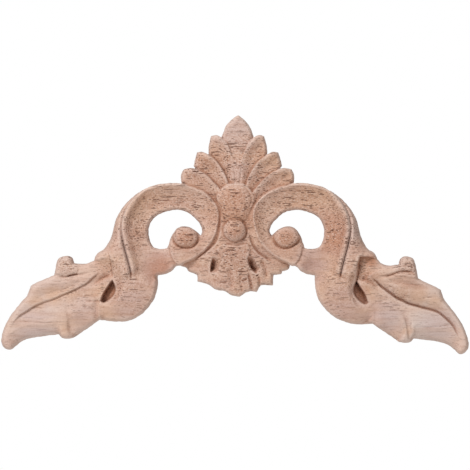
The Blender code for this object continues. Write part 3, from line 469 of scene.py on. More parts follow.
@dataclass
class Pendant:
    """The leafy drop under the bead, with two slots sunk beside its stem."""

    top: float = 12.4
    slope: float = 0.13
    crown: float = 0.007
    edge: float = 2.2
    stem_rise: float = 0.7
    stem_edge: float = 0.9
    slot_depth: float = 5.0
    slot_wall: float = 0.55
    slot_slopes: Stroke = (3.4, 2.8)
    bed_top: float = 11.2
    bed_slope: float = 0.07
    bed_from: float = 12.0
    bed_to: float = -8.0
    fall_from: float = -6.0
    stem_foot: float = -17.5
    stem_fade: float = 6.0

    def bed_height(self, at: Places, inside: np.ndarray) -> np.ndarray:
        """Rise from the petals' foot towards the drop."""
        return self.bed_top + self.bed_slope * (self.bed_from - np.clip(at[:, 1], self.bed_to, self.bed_from))

    def bed(self) -> Form:
        """Give the sunk ground between the scrolls, behind the bead."""
        return Form(outline([(-12.0, 19.9)], [(12.0, 19.9)], [(11.1, -10.5)], [(-12.0, -10.5)]),
                    self.bed_height)

    def height(self, at: Places, inside: np.ndarray) -> np.ndarray:
        """Fall away below the bead and to both sides."""
        down = np.maximum(self.fall_from - at[:, 1], 0)
        return self.top - self.slope * down - self.crown * at[:, 0] ** 2

    def stem_height(self, at: Places, inside: np.ndarray) -> np.ndarray:
        """Stand the flat stem proud of the drop, less so towards its foot."""
        return self.height(at, inside) + self.stem_rise * ease((at[:, 1] - self.stem_foot) / self.stem_fade)

    def forms(self) -> list[Form]:
        """Give the drop and its flat stem."""
        drop = outline(
            [(-4.3, -0.2)], [(3.8, -0.2), (11.1, -3.2), (18.8, -9.2)], [(23.1, -13.5), (22.7, -16.5)],
            [(19.7, -17.5), (19.2, -18.7)], [(16.0, -19.0)], [(15.7, -23.5), (11.1, -23.4)],
            [(10.0, -24.4)], [(8.8, -26.3), (6.4, -26.0)], [(4.3, -26.5)], [(1.7, -28.4), (-1.7, -27.8)],
            [(-5.1, -25.9), (-9.0, -25.2)], [(-11.5, -23.3)], [(-16.5, -21.8)],
            [(-16.7, -19.0), (-20.3, -17.5), (-21.4, -16.2)],
            [(-23.9, -15.2), (-19.7, -9.2), (-12.0, -3.2)])
        stem = outline(
            [(-5.6, -5.1)], [(5.1, -5.3), (6.4, -8.3), (5.8, -11.8)],
            [(6.8, -16.9), (2.6, -17.7), (-2.6, -17.3)], [(-7.1, -16.9), (-6.8, -10.9)], [(-9.4, -8.3)])
        return [Form(drop, self.height, self.edge), Form(stem, self.stem_height, self.stem_edge)]

    def slots(self) -> list[Cut]:
        """Give the two slots: a steep wall on the left, and a long slope up to the right."""
        steep = (self.slot_depth, self.slot_wall)
        left, right = [(self.slot_depth, width) for width in self.slot_slopes]
        return [Cut([(-9.6, -10.5), (-10.3, -14.3), (-10.6, -18.4)], left, steep, (0.5, 0.3), 1.15),
                Cut([(5.1, -10.7), (5.7, -13.5), (7.0, -16.2), (9.3, -18.4)], right, steep, (0.4, 0.25),
                    1.0)]

    def folds(self) -> list[Cut]:
        """Give the collar's line, the leafy end's folds and the small pits in them."""
        drawn = [([(-5.6, -5.5), (0.0, -5.9), (5.1, -5.6)], (0.9, 0.8)),
                 ([(-3.2, -15.6), (-2.4, -19.5), (-1.5, -25.4)], (0.9, 2.0)),
                 ([(1.5, -17.7), (1.9, -21.2), (2.8, -26.7)], (0.6, 1.2)),
                 ([(5.3, -17.7), (6.1, -21.6), (7.3, -26.3)], (1.1, 1.0)),
                 ([(9.4, -19.5), (10.0, -21.6), (9.8, -24.2)], (0.9, 1.0)),
                 ([(10.5, -12.2), (12.2, -15.6), (13.3, -20.7)], (1.0, 1.7)),
                 ([(-12.4, -13.5), (-12.8, -18.2), (-12.0, -22.9)], (0.4, 2.4)),
                 ([(-7.3, -22.0), (-5.6, -22.3), (-3.4, -21.6)], (0.7, 0.6)),
                 ([(2.1, -21.5), (3.4, -21.2), (4.9, -20.4)], (1.1, 0.7)),
                 ([(8.5, -19.5), (9.6, -19.0)], (1.3, 0.6))]
        return [Cut(path, stroke, stroke) for path, stroke in drawn]

    def cuts(self) -> list[Cut]:
        """Give every stroke on the drop, and the hollows between it and the scrolls."""
        left = [(-6.0, 10.9), (-6.6, 6.2), (-6.8, 0.6), (-8.0, -4.1), (-10.3, -7.1), (-13.3, -9.8),
                (-17.5, -12.8)]
        right = [(5.3, 1.9), (5.8, -2.4), (7.1, -6.4), (9.8, -9.6), (12.8, -12.0), (17.1, -13.9)]
        return self.slots() + self.folds() + [
            Cut(left, (0.3, 0.6), (1.8, 4.2), (0.25, 0.15), 1.3),
            Cut(right, (1.7, 1.9), (0.5, 0.7), (0.4, 0.25))]


@dataclass
class Scroll:
    """A scroll band with a rounded rim and a hollow moulding, the knob in its eye, and its opening."""

    side: Side
    rim_top: float = 13.2
    fall: float = 4.2
    reach: float = 9.5
    lobe_middle: tuple[float, float] = (21.6, -10.9)
    lobe_top: float = 11.4
    lobe_reach: float = 8.5
    lobe_full: float = 1.4
    arm_rounding: float = 2.2
    arm_from: float = 38.0
    arm_ease: float = 6.0
    edge: float = 1.5
    knob_middle: tuple[float, float] = (21.6, -2.7)
    knob_top: float = 12.9
    knob_drop: float = 3.0
    knob_half: tuple[float, float] = (5.7, 4.7)
    knob_past: float = 0.5
    knob_edge: float = 0.9

    def band(self) -> Form:
        """Give the band, from its foot in the arm to where it passes under the knob."""
        rim, low, foot = [placed(run, self.side) for run in (
            [(44.5, -22.4), (44.7, -19.0), (46.2, -12.6), (47.9, -6.2), (49.0, 0.2), (47.9, 7.1),
             (44.5, 13.0), (39.8, 17.3), (34.2, 19.5), (28.2, 20.3), (21.8, 19.9), (15.4, 18.0),
             (10.7, 14.9), (7.7, 10.9), (6.6, 6.2), (7.7, -0.2), (10.3, -5.8), (14.1, -10.3),
             (19.2, -13.5)],
            [(23.9, -15.2), (25.7, -15.4), (27.8, -17.5), (30.4, -18.7)],
            [(33.6, -19.2), (35.9, -22.9), (38.9, -25.9), (42.3, -27.6), (44.9, -26.3)])]
        return Form(outline(rim, low, foot), self.band_height(smooth_path([*rim, low[0]])), self.edge)

    def band_height(self, rim: Places) -> Rule:
        """Give the rule of the band: its rim is rounder beside the arm, and it ends in a flat lobe.

        Args:
            rim: The path of the rim.

        Returns:
            The height rule.
        """
        moulding = cove(rim, self.rim_top, self.fall, self.reach)
        softer = cove(rim, self.rim_top, self.fall, self.reach, self.arm_rounding)
        lobe = placed([self.lobe_middle], self.side)[0]

        def height(at: Places, inside: np.ndarray) -> np.ndarray:
            near = ease(self.lobe_full - np.hypot(*(at - lobe).T) / self.lobe_reach)
            arm = ease((np.abs(at[:, 0]) - self.arm_from) / self.arm_ease)
            band = moulding(at, inside) * (1 - arm) + softer(at, inside) * arm
            return band * (1 - near) + self.lobe_top * near
        return height

    def knob(self) -> Form:
        """Give the round knob that the scroll ends in."""
        centre = placed([self.knob_middle], self.side)[0]
        out, up = self.knob_half
        boss = dome(centre, out + self.knob_past, up + self.knob_past, self.knob_top, self.knob_drop)
        return Form(ellipse(centre, out, up), boss, self.knob_edge)

    def opening(self) -> Places:
        """Give the outline of the pierced eye."""
        return outline(*[placed(run, self.side) for run in (
            [(29.4, -7.5), (32.5, -7.9), (35.5, -7.0), (37.1, -4.1), (37.6, -0.6), (37.0, 2.8),
             (34.6, 6.0), (30.4, 7.9), (25.7, 8.8), (20.9, 7.8), (17.5, 5.1), (15.4, 2.6), (14.5, -0.2)],
            [(15.2, -2.1), (17.1, -0.3), (19.7, 1.3), (22.7, 1.8), (25.4, 0.8), (27.6, -2.4)])])


@dataclass
class LeafArm:
    """The leaf spray of one side, its ear, the fold that comes off the scroll, and the bulb."""

    side: Side
    leaf_top: float = 10.6
    leaf_roll: tuple[float, float] = (3.0, 1.0)
    ear_top: float = 10.9
    ear_roll: tuple[float, float] = (2.5, 0.8)
    fold_top: float = 13.2
    fold_drop: float = 4.4
    fold_roll: float = 5.0
    fold_low: float = -5.0
    fold_ease: float = 9.0
    fold_sink: float = 1.3
    fold_sunk: float = -17.0
    fold_level: float = 0.5
    right_eye_shift: tuple[float, float] = (-1.4, 1.0)
    bulb_middle: tuple[float, float] = (46.6, -28.0)
    bulb_top: float = 12.6
    bulb_drop: float = 4.2
    bulb_half: tuple[float, float] = (15.0, 12.8)
    bulb_edge: float = 4.0
    eye_top: float = 9.2
    eye_drop: float = 4.7
    eye_reach: float = 8.0
    eye_edge: float = 0.8
    step_floor: float = 10.0
    step_edge: float = 1.0
    seam: float = 1.1
    right_seam: float = 0.4

    def place(self, points: Points) -> Places:
        """Put the arm's (out, up) places on its side."""
        return placed(points, self.side)

    def loop(self, *runs: Points) -> Places:
        """Join the arm's (out, up) runs into a closed outline on its side."""
        return outline(*[self.place(run) for run in runs])

    def leaf(self) -> list[Form]:
        """Give the leaf blade, and the ear on its upper edge."""
        blade = self.loop(
            [(58.6, -9.2), (60.1, -10.9)], [(60.7, -12.8), (64.6, -14.2)],
            [(69.5, -13.9), (70.5, -11.5), (73.5, -10.9), (76.3, -12.6)],
            [(77.8, -19.0), (81.2, -20.5), (85.5, -22.2)], [(87.9, -23.7), (88.7, -25.9)],
            [(89.6, -28.0), (94.5, -33.6), (97.9, -38.7), (100.0, -43.8), (100.5, -47.7), (99.2, -50.2),
             (96.6, -51.1), (94.1, -49.2), (90.2, -46.8), (83.8, -45.5)],
            [(75.9, -44.5), (74.4, -46.0), (71.8, -46.3)], [(69.7, -46.0), (64.1, -42.2)],
            [(58.4, -38.3), (53.0, -34.8), (48.7, -25.4), (50.4, -13.5)])
        ear = self.loop(
            [(77.8, -19.0), (76.3, -12.6), (73.5, -10.9), (70.5, -11.5)],
            [(69.5, -13.9), (66.7, -15.2), (67.1, -18.2)], [(72.3, -19.5), (75.2, -19.9)])
        return [Form(blade, pillow(self.leaf_top, *self.leaf_roll)),
                Form(ear, pillow(self.ear_top, *self.ear_roll))]

    def stem(self) -> list[Form]:
        """Give the fold that comes off the scroll, the bulb it ends in, and the eye sunk beside them."""
        outer = [(39.8, 17.5), (43.2, 15.2), (47.5, 11.1), (51.3, 5.3), (53.4, -2.4), (56.0, -7.3),
                 (59.4, -9.8)]
        lower = [(60.7, -12.8), (57.3, -14.3), (54.5, -16.2), (52.6, -19.0), (51.2, -22.9)]
        foot = [(50.4, -26.7), (48.7, -30.6), (45.3, -31.0)]
        fold = self.loop(
            outer, lower, foot,
            [(43.6, -26.3), (44.7, -19.0), (46.2, -12.6), (47.9, -6.2), (49.0, 0.2), (47.9, 7.1),
             (44.5, 12.6)])
        bulb = self.loop(
            [(57.9, -30.1), (53.9, -28.9), (51.3, -25.4), (48.7, -19.5), (41.0, -16.0)],
            [(33.6, -19.2), (33.6, -22.9), (34.6, -28.0), (36.8, -31.9), (40.2, -35.7), (45.3, -38.5),
             (51.7, -39.0)],
            [(58.4, -38.3), (59.0, -34.4)])
        found = [Form(fold, self.fold_height(smooth_path(self.place([*outer, *lower, foot[0]])))),
                 Form(bulb, dome(self.place([self.bulb_middle])[0], *self.bulb_half, self.bulb_top,
                                 self.bulb_drop), self.bulb_edge),
                 self.eye()]
        if self.side is Side.RIGHT:
            found.append(self.step())
        return found

    def eye(self) -> Form:
        """Give the blind eye between the fold, the bulb and the leaf, which is lowest by the leaf."""
        near = [(52.6, -21.2), (51.2, -24.2), (51.7, -27.1), (53.9, -29.7), (56.4, -31.0)]
        far = [(58.0, -30.1), (56.6, -26.3), (54.3, -22.9)]
        loop = self.loop(near, far)
        deepest = smooth_path(self.place([*far, near[0]]))
        if self.side is Side.RIGHT:
            loop = loop + self.right_eye_shift
            deepest = deepest + self.right_eye_shift
        return Form(loop, shoulder(deepest, self.eye_top, self.eye_drop, self.eye_reach), self.eye_edge)

    def fold_height(self, flank: Places) -> Rule:
        """Give the rule of the fold, which rolls off less and sinks a little where it meets the leaf.

        Args:
            flank: The path of its outer edge.

        Returns:
            The height rule.
        """
        def height(at: Places, inside: np.ndarray) -> np.ndarray:
            low = ease((self.fold_low - at[:, 1]) / self.fold_ease)
            away = path_distance(at, flank) / self.fold_roll
            sharp = (1 - np.clip(away, 0, 1)) ** 2
            roll = sharp * (1 - low) + self.fold_level * (1 - ease(away)) * low
            sunk = ease((self.fold_sunk - at[:, 1]) / self.fold_ease)
            return self.fold_top - self.fold_sink * sunk - self.fold_drop * roll
        return height

    def step(self) -> Form:
        """Give the square step that ends the fold above the right leaf."""
        loop = outline([(52.8, -10.9)], [(59.2, -10.9), (61.6, -13.5)], [(63.3, -16.9), (58.1, -18.6)],
                       [(54.3, -22.4), (52.2, -22.4), (51.3, -16.9)])
        return Form(loop, flat(self.step_floor), self.step_edge)

    def cut(self, points: Points, outer: Stroke, inner: Stroke, fade: Stroke = FADE,
            hollow: float = HOLLOW, soft: float = SOFT) -> Cut:
        """Make a stroke that runs down the arm.

        Args:
            points: Its (out, up) path, from its upper end.
            outer: Depth and width on the path's outer or upper side.
            inner: Depth and width on its other side.
            fade: How far along each end fades.
            hollow: How hollow its sides are, where 1 is flat.
            soft: How softly one side passes into the other.

        Returns:
            The stroke on this side of the onlay.
        """
        left, right = (inner, outer) if self.side is Side.LEFT else (outer, inner)
        return Cut(self.place(points), left, right, fade, hollow, soft)

    def cuts(self) -> list[Cut]:
        """Give the arm's groove, veins, lobe edges and seams."""
        seam = self.seam if self.side is Side.LEFT else self.right_seam
        drawn = [
            (GROOVE, (0.8, 0.55), (0.6, 0.45), (0.45, 0.25)),
            ([(54.7, -8.3), (53.7, -11.8), (53.0, -16.0), (52.4, -20.7)],
             (0.9, 4.5), (0.0, 1.0), (0.3, 0.15), 1.0),
            ([(53.0, -18.6), (57.3, -20.5), (60.3, -22.7), (63.3, -25.0)],
             (1.4, 2.5), (1.4, 1.5), (0.2, 0.6)),
            ([(57.9, -29.7), (59.2, -32.3), (59.2, -34.8), (58.6, -39.1)],
             (seam, 2.8), (0.2, 1.6), (0.1, 0.05), 1.2, 0.8),
            ([(59.0, -38.7), (64.1, -42.5), (70.5, -46.4)], (2.4, 8.0), (0.0, 1.0), (0.6, 0.2), 1.0),
            ([(74.4, -45.1), (83.8, -46.0), (90.6, -47.9), (95.3, -51.5)],
             (2.6, 6.6), (0.0, 1.0), (0.1, 0.2), 1.0),
            ([(94.1, -38.5), (89.8, -39.1), (82.9, -39.5), (76.1, -39.2)], (0.35, 0.5), (0.35, 0.5)),
            ([(81.7, -21.6), (75.2, -21.6), (68.8, -20.7), (62.0, -20.3)], (0.35, 0.5), (0.35, 0.5)),
            ([(27.8, -6.6), (28.0, -9.2), (26.5, -13.0), (23.5, -16.0)],
             (0.8, 3.0), (0.0, 1.0), (0.2, 0.3)),
            ([(27.4, -2.4), (26.5, -4.5), (24.4, -6.5), (21.4, -7.5), (18.0, -6.6), (15.6, -3.2)],
             (1.4, 1.0), (0.5, 1.0))]
        drawn += self.left_cuts() if self.side is Side.LEFT else self.right_cuts()
        found = [self.cut(*row) for row in drawn]
        return found + ([self.notch()] if self.side is Side.RIGHT else [])

    def left_cuts(self) -> list[tuple]:
        """Give the left leaf's own vein, ear line and rib, as rows for the cut method."""
        return [
            (LEFT_VEIN, (0.3, 2.5), (1.5, 8.3), (0.1, 0.25), 1.0, 0.4),
            ([*LEFT_VEIN[:1], *LEFT_VEIN[1:10:2], (93.2, -37.2)], (0.1, 0.8), (0.25, 0.7), (0.05, 0.3)),
            ([(65.0, -29.9), (62.0, -30.1), (58.6, -30.4)], (0.5, 0.8), (0.5, 0.8)),
            ([(63.7, -19.5), (69.3, -23.1), (76.1, -25.9), (82.5, -27.8), (88.1, -31.0)],
             (0.9, 4.0), (0.9, 3.6), (0.3, 0.3)),
            ([(77.4, -19.2), (72.7, -19.6), (68.0, -18.6), (63.3, -18.0), (59.0, -17.3)],
             (1.3, 2.4), (0.3, 1.5), (0.2, 0.6)),
            ([(74.0, -28.9), (72.5, -33.1), (71.4, -38.3), (71.2, -46.0)],
             (0.2, 2.0), (0.9, 2.6), (0.3, 0.05), 1.0, 1.3)]

    def right_cuts(self) -> list[tuple]:
        """Give the right leaf's own vein, ear line and rib, as rows for the cut method."""
        return [
            (RIGHT_VEIN, (2.4, 4.6), (1.1, 8.3), (0.15, 0.2), 1.2),
            (RIGHT_VEIN[:-1], (1.0, 1.1), (1.0, 0.5), (0.1, 0.25)),
            ([(77.0, -18.6), (74.8, -16.5), (70.1, -16.5), (65.8, -17.7), (60.3, -18.4)],
             (1.6, 1.5), (0.6, 0.9), (0.25, 0.3)),
            ([(69.3, -30.1), (71.8, -34.8), (72.9, -39.1), (74.0, -45.5)],
             (1.4, 2.6), (0.2, 1.2), (0.6, 0.05), 1.0, 0.9),
            ([(63.3, -18.6), (69.7, -20.3), (76.1, -21.6), (83.4, -23.7)],
             (1.4, 3.4), (1.4, 2.6), (0.25, 0.25)),
            ([(65.0, -28.2), (62.0, -28.4), (58.6, -28.7)], (0.4, 0.7), (0.4, 0.7))]

    def notch(self) -> Cut:
        """Give the notch above the right eye."""
        return Cut([(53.0, -10.5), (53.0, -13.5), (52.4, -17.7), (51.1, -23.3)],
                   (1.6, 1.0), (1.6, 0.7), (0.12, 0.02))


@dataclass
class BeadAndTongue:
    """The tongue that laps over the petals, and the round bead at its foot."""

    tongue_top: float = 13.6
    tongue_roll: tuple[float, float] = (6.0, 2.0)
    tongue_edge: float = 0.9
    line_in: float = 1.5
    line_depth: float = 0.45
    line_width: float = 0.4
    line_from: tuple[float, float] = (1.0, 9.0)
    line_fade: float = 3.0
    bead_top: float = 15.5
    bead_drop: float = 4.0
    bead_past: float = 0.4
    bead_radius: float = 4.95
    bead_centre: tuple[float, float] = (-0.6, 0.1)
    bead_edge: float = 0.5
    groove_past: float = 0.35
    groove_corners: tuple[int, int, int] = (36, 9, 22)
    groove_stroke: Stroke = (0.8, 0.8)
    groove_fade: Stroke = (0.4, 0.4)

    def tongue_height(self, at: Places, inside: np.ndarray) -> np.ndarray:
        """Crown the tongue, with a thin sunk line inside the upper right of its edge."""
        crown = pillow(self.tongue_top, *self.tongue_roll)(at, inside)
        line = self.line_depth * np.exp(-((inside - self.line_in) / self.line_width) ** 2)
        return crown - line * ease((at - self.line_from) / self.line_fade).prod(axis=1)

    def forms(self) -> list[Form]:
        """Give the tongue and the bead."""
        tongue = outline([(0.0, 20.9), (3.8, 20.1), (6.8, 17.3), (8.3, 13.5), (7.1, 9.2)],
                         [(5.1, 4.5), (0.0, 1.5)],
                         [(-5.8, 4.5), (-6.8, 8.8), (-8.7, 13.5), (-7.3, 17.3), (-3.8, 20.2)])
        centre = np.array(self.bead_centre)
        reach = self.bead_radius + self.bead_past
        bead = Form(ellipse(centre, self.bead_radius, self.bead_radius),
                    dome(centre, reach, reach, self.bead_top, self.bead_drop), self.bead_edge)
        return [Form(tongue, self.tongue_height, self.tongue_edge), bead]

    def cuts(self) -> list[Cut]:
        """Give the groove round the bead's lower right: some of the corners of a circle round it."""
        radius = self.bead_radius + self.groove_past
        corners, turned, used = self.groove_corners
        around = ellipse(np.array(self.bead_centre), radius, radius, corners)
        lower_right = np.roll(around, turned, axis=0)[:used]
        return [Cut(lower_right, self.groove_stroke, self.groove_stroke, self.groove_fade)]


class Carving:
    """All the forms and cuts of the onlay, laid over each other in carving order."""

    def __init__(self) -> None:
        """Lay out the forms from the lowest to the highest."""
        middle = Pendant()
        self.forms = [middle.bed()] + Palmette().forms() + middle.forms()
        self.cuts = middle.cuts()
        self.openings = []
        for side in Side:
            arm = LeafArm(side)
            scroll = Scroll(side)
            self.forms += arm.leaf() + [scroll.band()] + arm.stem() + [scroll.knob()]
            self.cuts += arm.cuts()
            self.openings.append(scroll.opening())
        boss = BeadAndTongue()
        self.forms += boss.forms()
        self.cuts += boss.cuts()

    def spread(self, at: Places) -> np.ndarray:
        """Measure how far inside the whole silhouette each place is.

        Args:
            at: The places.

        Returns:
            The distances, negative outside.
        """
        found = np.full(len(at), -FAR)
        for form in self.forms:
            np.maximum(found, form.reach(at), out=found)
        for loop in self.openings:
            np.minimum(found, -inside_distance(at, loop), out=found)
        return found

    def height(self, at: Places, spread: np.ndarray) -> np.ndarray:
        """Work out the height of the carving above the back.

        Args:
            at: The places, in or on the silhouette.
            spread: How far inside the silhouette each is.

        Returns:
            The heights.
        """
        level = np.zeros(len(at))
        cover = np.zeros(len(at))
        for form in self.forms:
            inside = form.reach(at)
            here = inside > -LAP
            if not here.any():
                continue
            mine = ease((inside[here] + LAP) / form.edge)
            under = cover[here] * (1 - mine)
            own = form.height(at[here], inside[here])
            level[here] = (mine * own + under * level[here]) / np.maximum(mine + under, 1e-9)
            cover[here] = mine + under
        for cut in self.cuts:
            level -= cut.depth(at)
        rounded = EDGE_DROP * (1 - np.clip(spread / EDGE_ROUND, 0, 1)) ** 2
        return np.maximum(level - rounded, LOWEST)


@dataclass(frozen=True)
class Grain:
    """Smooth noise: its strength, how far apart its bumps are, how drawn out along X, and its seed."""

    strength: float
    run: float
    stretch: float
    seed: float

    def field(self, at: Places) -> np.ndarray:
        """Sample the noise.

        Args:
            at: The places.

        Returns:
            Values from about -1 to 1 times the strength.
        """
        wide = self.run * self.stretch
        return self.strength * np.array([noise.noise(Vector((x / wide, z / self.run, self.seed)))
                                         for x, z in at])


@dataclass
class HandWork:
    """The unevenness that the knife left, and the wood's own cracks and chips. Sizes are in mm."""

    swell: Grain = Grain(0.16, 7.0, 1.3, 3.1)
    stroke: Grain = Grain(0.09, 2.2, 1.6, 11.7)
    grit: Grain = Grain(0.045, 0.7, 2.5, 23.9)
    ragged: Grain = Grain(0.15, 1.4, 1.0, 71.2)
    stray: Grain = Grain(0.14, 4.0, 1.0, 83.6)
    across: Grain = Grain(0.28, 4.0, 1.0, 41.3)
    along: Grain = Grain(0.28, 4.0, 1.0, 57.9)
    inset: float = 0.07
    crack_strokes: tuple[Stroke, Stroke] = ((1.3, 0.65), (0.45, 0.45))

    def cracks(self) -> list[Cut]:
        """Give the cracks, which follow the grain."""
        paths = [[(-72.7, -19.6), (-70.1, -19.0), (-67.1, -18.4)],
                 [(79.1, -29.0), (82.1, -28.5), (85.1, -28.8)]]
        return [Cut(path, stroke, stroke) for path, stroke in zip(paths, self.crack_strokes)]

    def relief(self, at: Places) -> np.ndarray:
        """Work out how far the hand's work stands off the drawn carving.

        Args:
            at: The places.

        Returns:
            The height to add at each place.
        """
        rough = self.swell.field(at)
        rough += self.stroke.field(at)
        rough += self.grit.field(at)
        for crack in self.cracks():
            rough -= crack.depth(at)
        return rough

    def frayed(self, at: Places) -> np.ndarray:
        """Work out how far in from the drawing the sawn outline lies at each place."""
        return np.maximum(self.ragged.field(at) + self.stray.field(at) + self.inset, 0.0)

    def shifted(self, at: Places) -> Places:
        """Let the drawn lines wander a little, as cut lines do.

        Args:
            at: The places.

        Returns:
            The places on the drawing that they take their height from.
        """
        return at + np.column_stack([self.across.field(at), self.along.field(at)])


@dataclass(frozen=True)
class Patch:
    """A soft round place on the board, by its middle, its reach in mm and how strong it is."""

    middle: tuple[float, float]
    reach: float
    strength: float
    full: float = 1.25

    def cover(self, at: Places) -> np.ndarray:
        """Work out how strongly the patch shows at each place."""
        return self.strength * ease(self.full - np.hypot(*(at - np.array(self.middle)).T) / self.reach)


@dataclass
class BoardMarksAndPaintedLight:
    """Where the board is rough from torn end grain, where it is paler or darker than the rest, and where
    light and shade are painted on: warm shade, shade along the grooves, and pale and dark patches that are
    partly painted light and shade.

    Each row is a patch's (out, up) middle, its reach and its strength.
    """

    groove_shade_fade: Stroke = (0.35, 0.35)

    def patches(self, both: Sequence[Row] = (), left: Sequence[Row] = (),
                right: Sequence[Row] = ()) -> list[Patch]:
        """Make patches from their rows.

        Args:
            both: The rows of the patches that are on both sides.
            left: Those on the left only.
            right: Those on the right only.

        Returns:
            The patches.
        """
        return [Patch((side.value * out, up), reach, strength)
                for side, own in ((Side.LEFT, left), (Side.RIGHT, right))
                for out, up, reach, strength in (*both, *own)]

    def rough(self) -> list[Patch]:
        """Give the rough places: the scrolls, the middle, the petals, the stems and the ears."""
        return self.patches(
            both=[(25.0, 10.0, 24.0, 1.0), (46.0, 0.0, 14.0, 1.0), (49.0, -20.0, 13.0, 1.0),
                  (0.0, 20.0, 28.0, 1.2), (0.0, -15.0, 22.0, 1.0), (0.0, -13.0, 11.0, 1.5),
                  (21.0, -4.0, 6.0, 1.3), (-0.6, 0.0, 6.0, 1.2), (73.0, -14.0, 7.0, 1.3),
                  (68.0, -28.0, 8.0, 0.5), (40.0, -32.0, 10.0, 0.5)],
            left=[(16.0, 26.0, 10.0, 1.5)],
            right=[(50.0, 1.0, 5.0, 1.15), (41.0, 0.0, 8.0, 1.35)])

    def pale(self) -> list[Patch]:
        """Give the paler places: the leaves, the ears, the outer stems and the petals' tops; partly the
        wood's own paler tone, partly painted light, most of all on the right leaf's lower side and the right
        outer stem.
        """
        return self.patches(
            both=[(88.0, -32.0, 24.0, 0.65), (70.0, -30.0, 12.0, 0.45), (73.0, -13.0, 7.0, 0.4),
                  (53.0, 5.0, 9.0, 0.15), (0.0, 44.0, 12.0, 0.45), (46.0, -32.0, 13.0, 0.4)],
            left=[(84.0, -43.0, 10.0, 0.95), (47.0, -36.0, 6.0, 0.6)],
            right=[(82.0, -44.0, 14.0, 1.3), (66.0, -37.0, 7.0, 0.8), (52.0, 0.0, 6.0, 1.1)])

    def dark(self) -> list[Patch]:
        """Give the darker places: the right stem, the eyes' sides and the pendant; partly the wood's own
        darker tone, and painted shade in the sunk eyes, the right step's floor and the bed beside the tongue.
        """
        return self.patches(
            both=[(0.0, -14.0, 17.0, 0.50), (0.0, 7.0, 13.0, 1.2), (0.0, 0.0, 5.5, 1.3),
                  (21.0, -3.0, 7.5, 1.3), (53.6, -26.5, 4.0, 1.6), (56.0, -19.5, 5.0, 0.8),
                  (47.0, -28.0, 6.0, 0.5), (0.0, 13.0, 7.0, 1.3), (46.0, -30.0, 14.0, 0.4),
                  (44.0, -2.0, 9.0, 0.35)],
            left=[(15.0, 28.0, 12.0, 0.45), (32.0, -17.0, 8.5, 1.5), (19.0, -12.0, 6.0, 0.7)],
            right=[(41.0, -1.0, 11.0, 1.5), (24.0, 12.0, 16.0, 0.3), (57.5, -12.8, 3.6, 1.5),
                   (75.0, -22.0, 9.0, 0.4), (32.0, -17.0, 7.0, 0.4)])

    def warm_shade(self) -> list[Patch]:
        """Give the painted warm shade: the orange of shade on the leaves' upper planes, their ribs, the eyes
        and the hollows by the bead.
        """
        return self.patches(
            [(78.0, -28.0, 5.0, 1.0), (85.0, -31.0, 4.5, 0.9), (71.0, -27.0, 4.5, 0.7),
             (73.5, -43.0, 3.0, 0.8), (55.0, -14.0, 5.0, 0.6), (8.0, -5.0, 4.0, 0.6),
             (54.5, -26.0, 4.0, 1.0)])

    def cool(self) -> list[Patch]:
        """Give the greyish pink places: the leaves' lower sides, the lobes, the bulbs and the palmette."""
        return self.patches(
            [(86.0, -42.0, 10.0, 1.0), (64.0, -36.0, 8.0, 1.0), (45.0, -31.0, 10.0, 1.0),
             (32.0, -16.0, 9.0, 1.3), (0.0, 40.0, 12.0, 0.8), (0.0, 26.0, 8.0, 0.7),
             (4.0, -24.0, 5.0, 0.4), (50.0, 0.0, 8.0, 0.3)])

    def pitted(self) -> list[Patch]:
        """Give the places where the grain's ends show as round pits: flanks of scrolls, folds and petals."""
        return self.patches(
            left=[(41.0, 3.0, 8.0, 1.0), (49.0, -17.0, 6.5, 1.0)],
            right=[(11.0, 4.0, 6.5, 1.0), (44.0, 7.0, 6.0, 0.8), (39.0, -18.0, 7.0, 1.0),
                   (13.0, 27.0, 9.0, 0.8)])

    def groove_shade(self) -> list[Cut]:
        """Give the painted shade lines: dark colour laid along the arms' grooves, the leaves' veins where
        they are deepest, and the collar, where shade falls in the narrow cuts.
        """
        collar = [(6.0, -5.6), (0.0, -5.9), (-5.6, -5.6)]
        lines = [(GROOVE[1:], Side.LEFT, 0.65, 1.0), (GROOVE[1:], Side.RIGHT, 0.7, 1.0),
                 (LEFT_VEIN[:5], Side.LEFT, 0.45, 0.45), (RIGHT_VEIN[:9], Side.RIGHT, 0.6, 0.6),
                 (collar, Side.LEFT, 0.4, 0.8)]
        return [Cut(placed(path, side), (strength, width), (strength, width), self.groove_shade_fade)
                for path, side, width, strength in lines]

    def kept(self, at: Places) -> dict[str, np.ndarray]:
        """Work out each mark's strength at each place.

        Args:
            at: The places.

        Returns:
            The strengths, by the mark's name.
        """
        marks = {"rough": self.rough(), "pale": self.pale(), "dark": self.dark(),
                 "warm_shade": self.warm_shade(), "cool": self.cool(), "pitted": self.pitted()}
        kept = {name: np.max([patch.cover(at) for patch in patches], axis=0)
                for name, patches in marks.items()}
        # The painted shade lines' strength at each place.
        kept["groove_shade"] = np.max([line.depth(at) for line in self.groove_shade()], axis=0)
        return kept


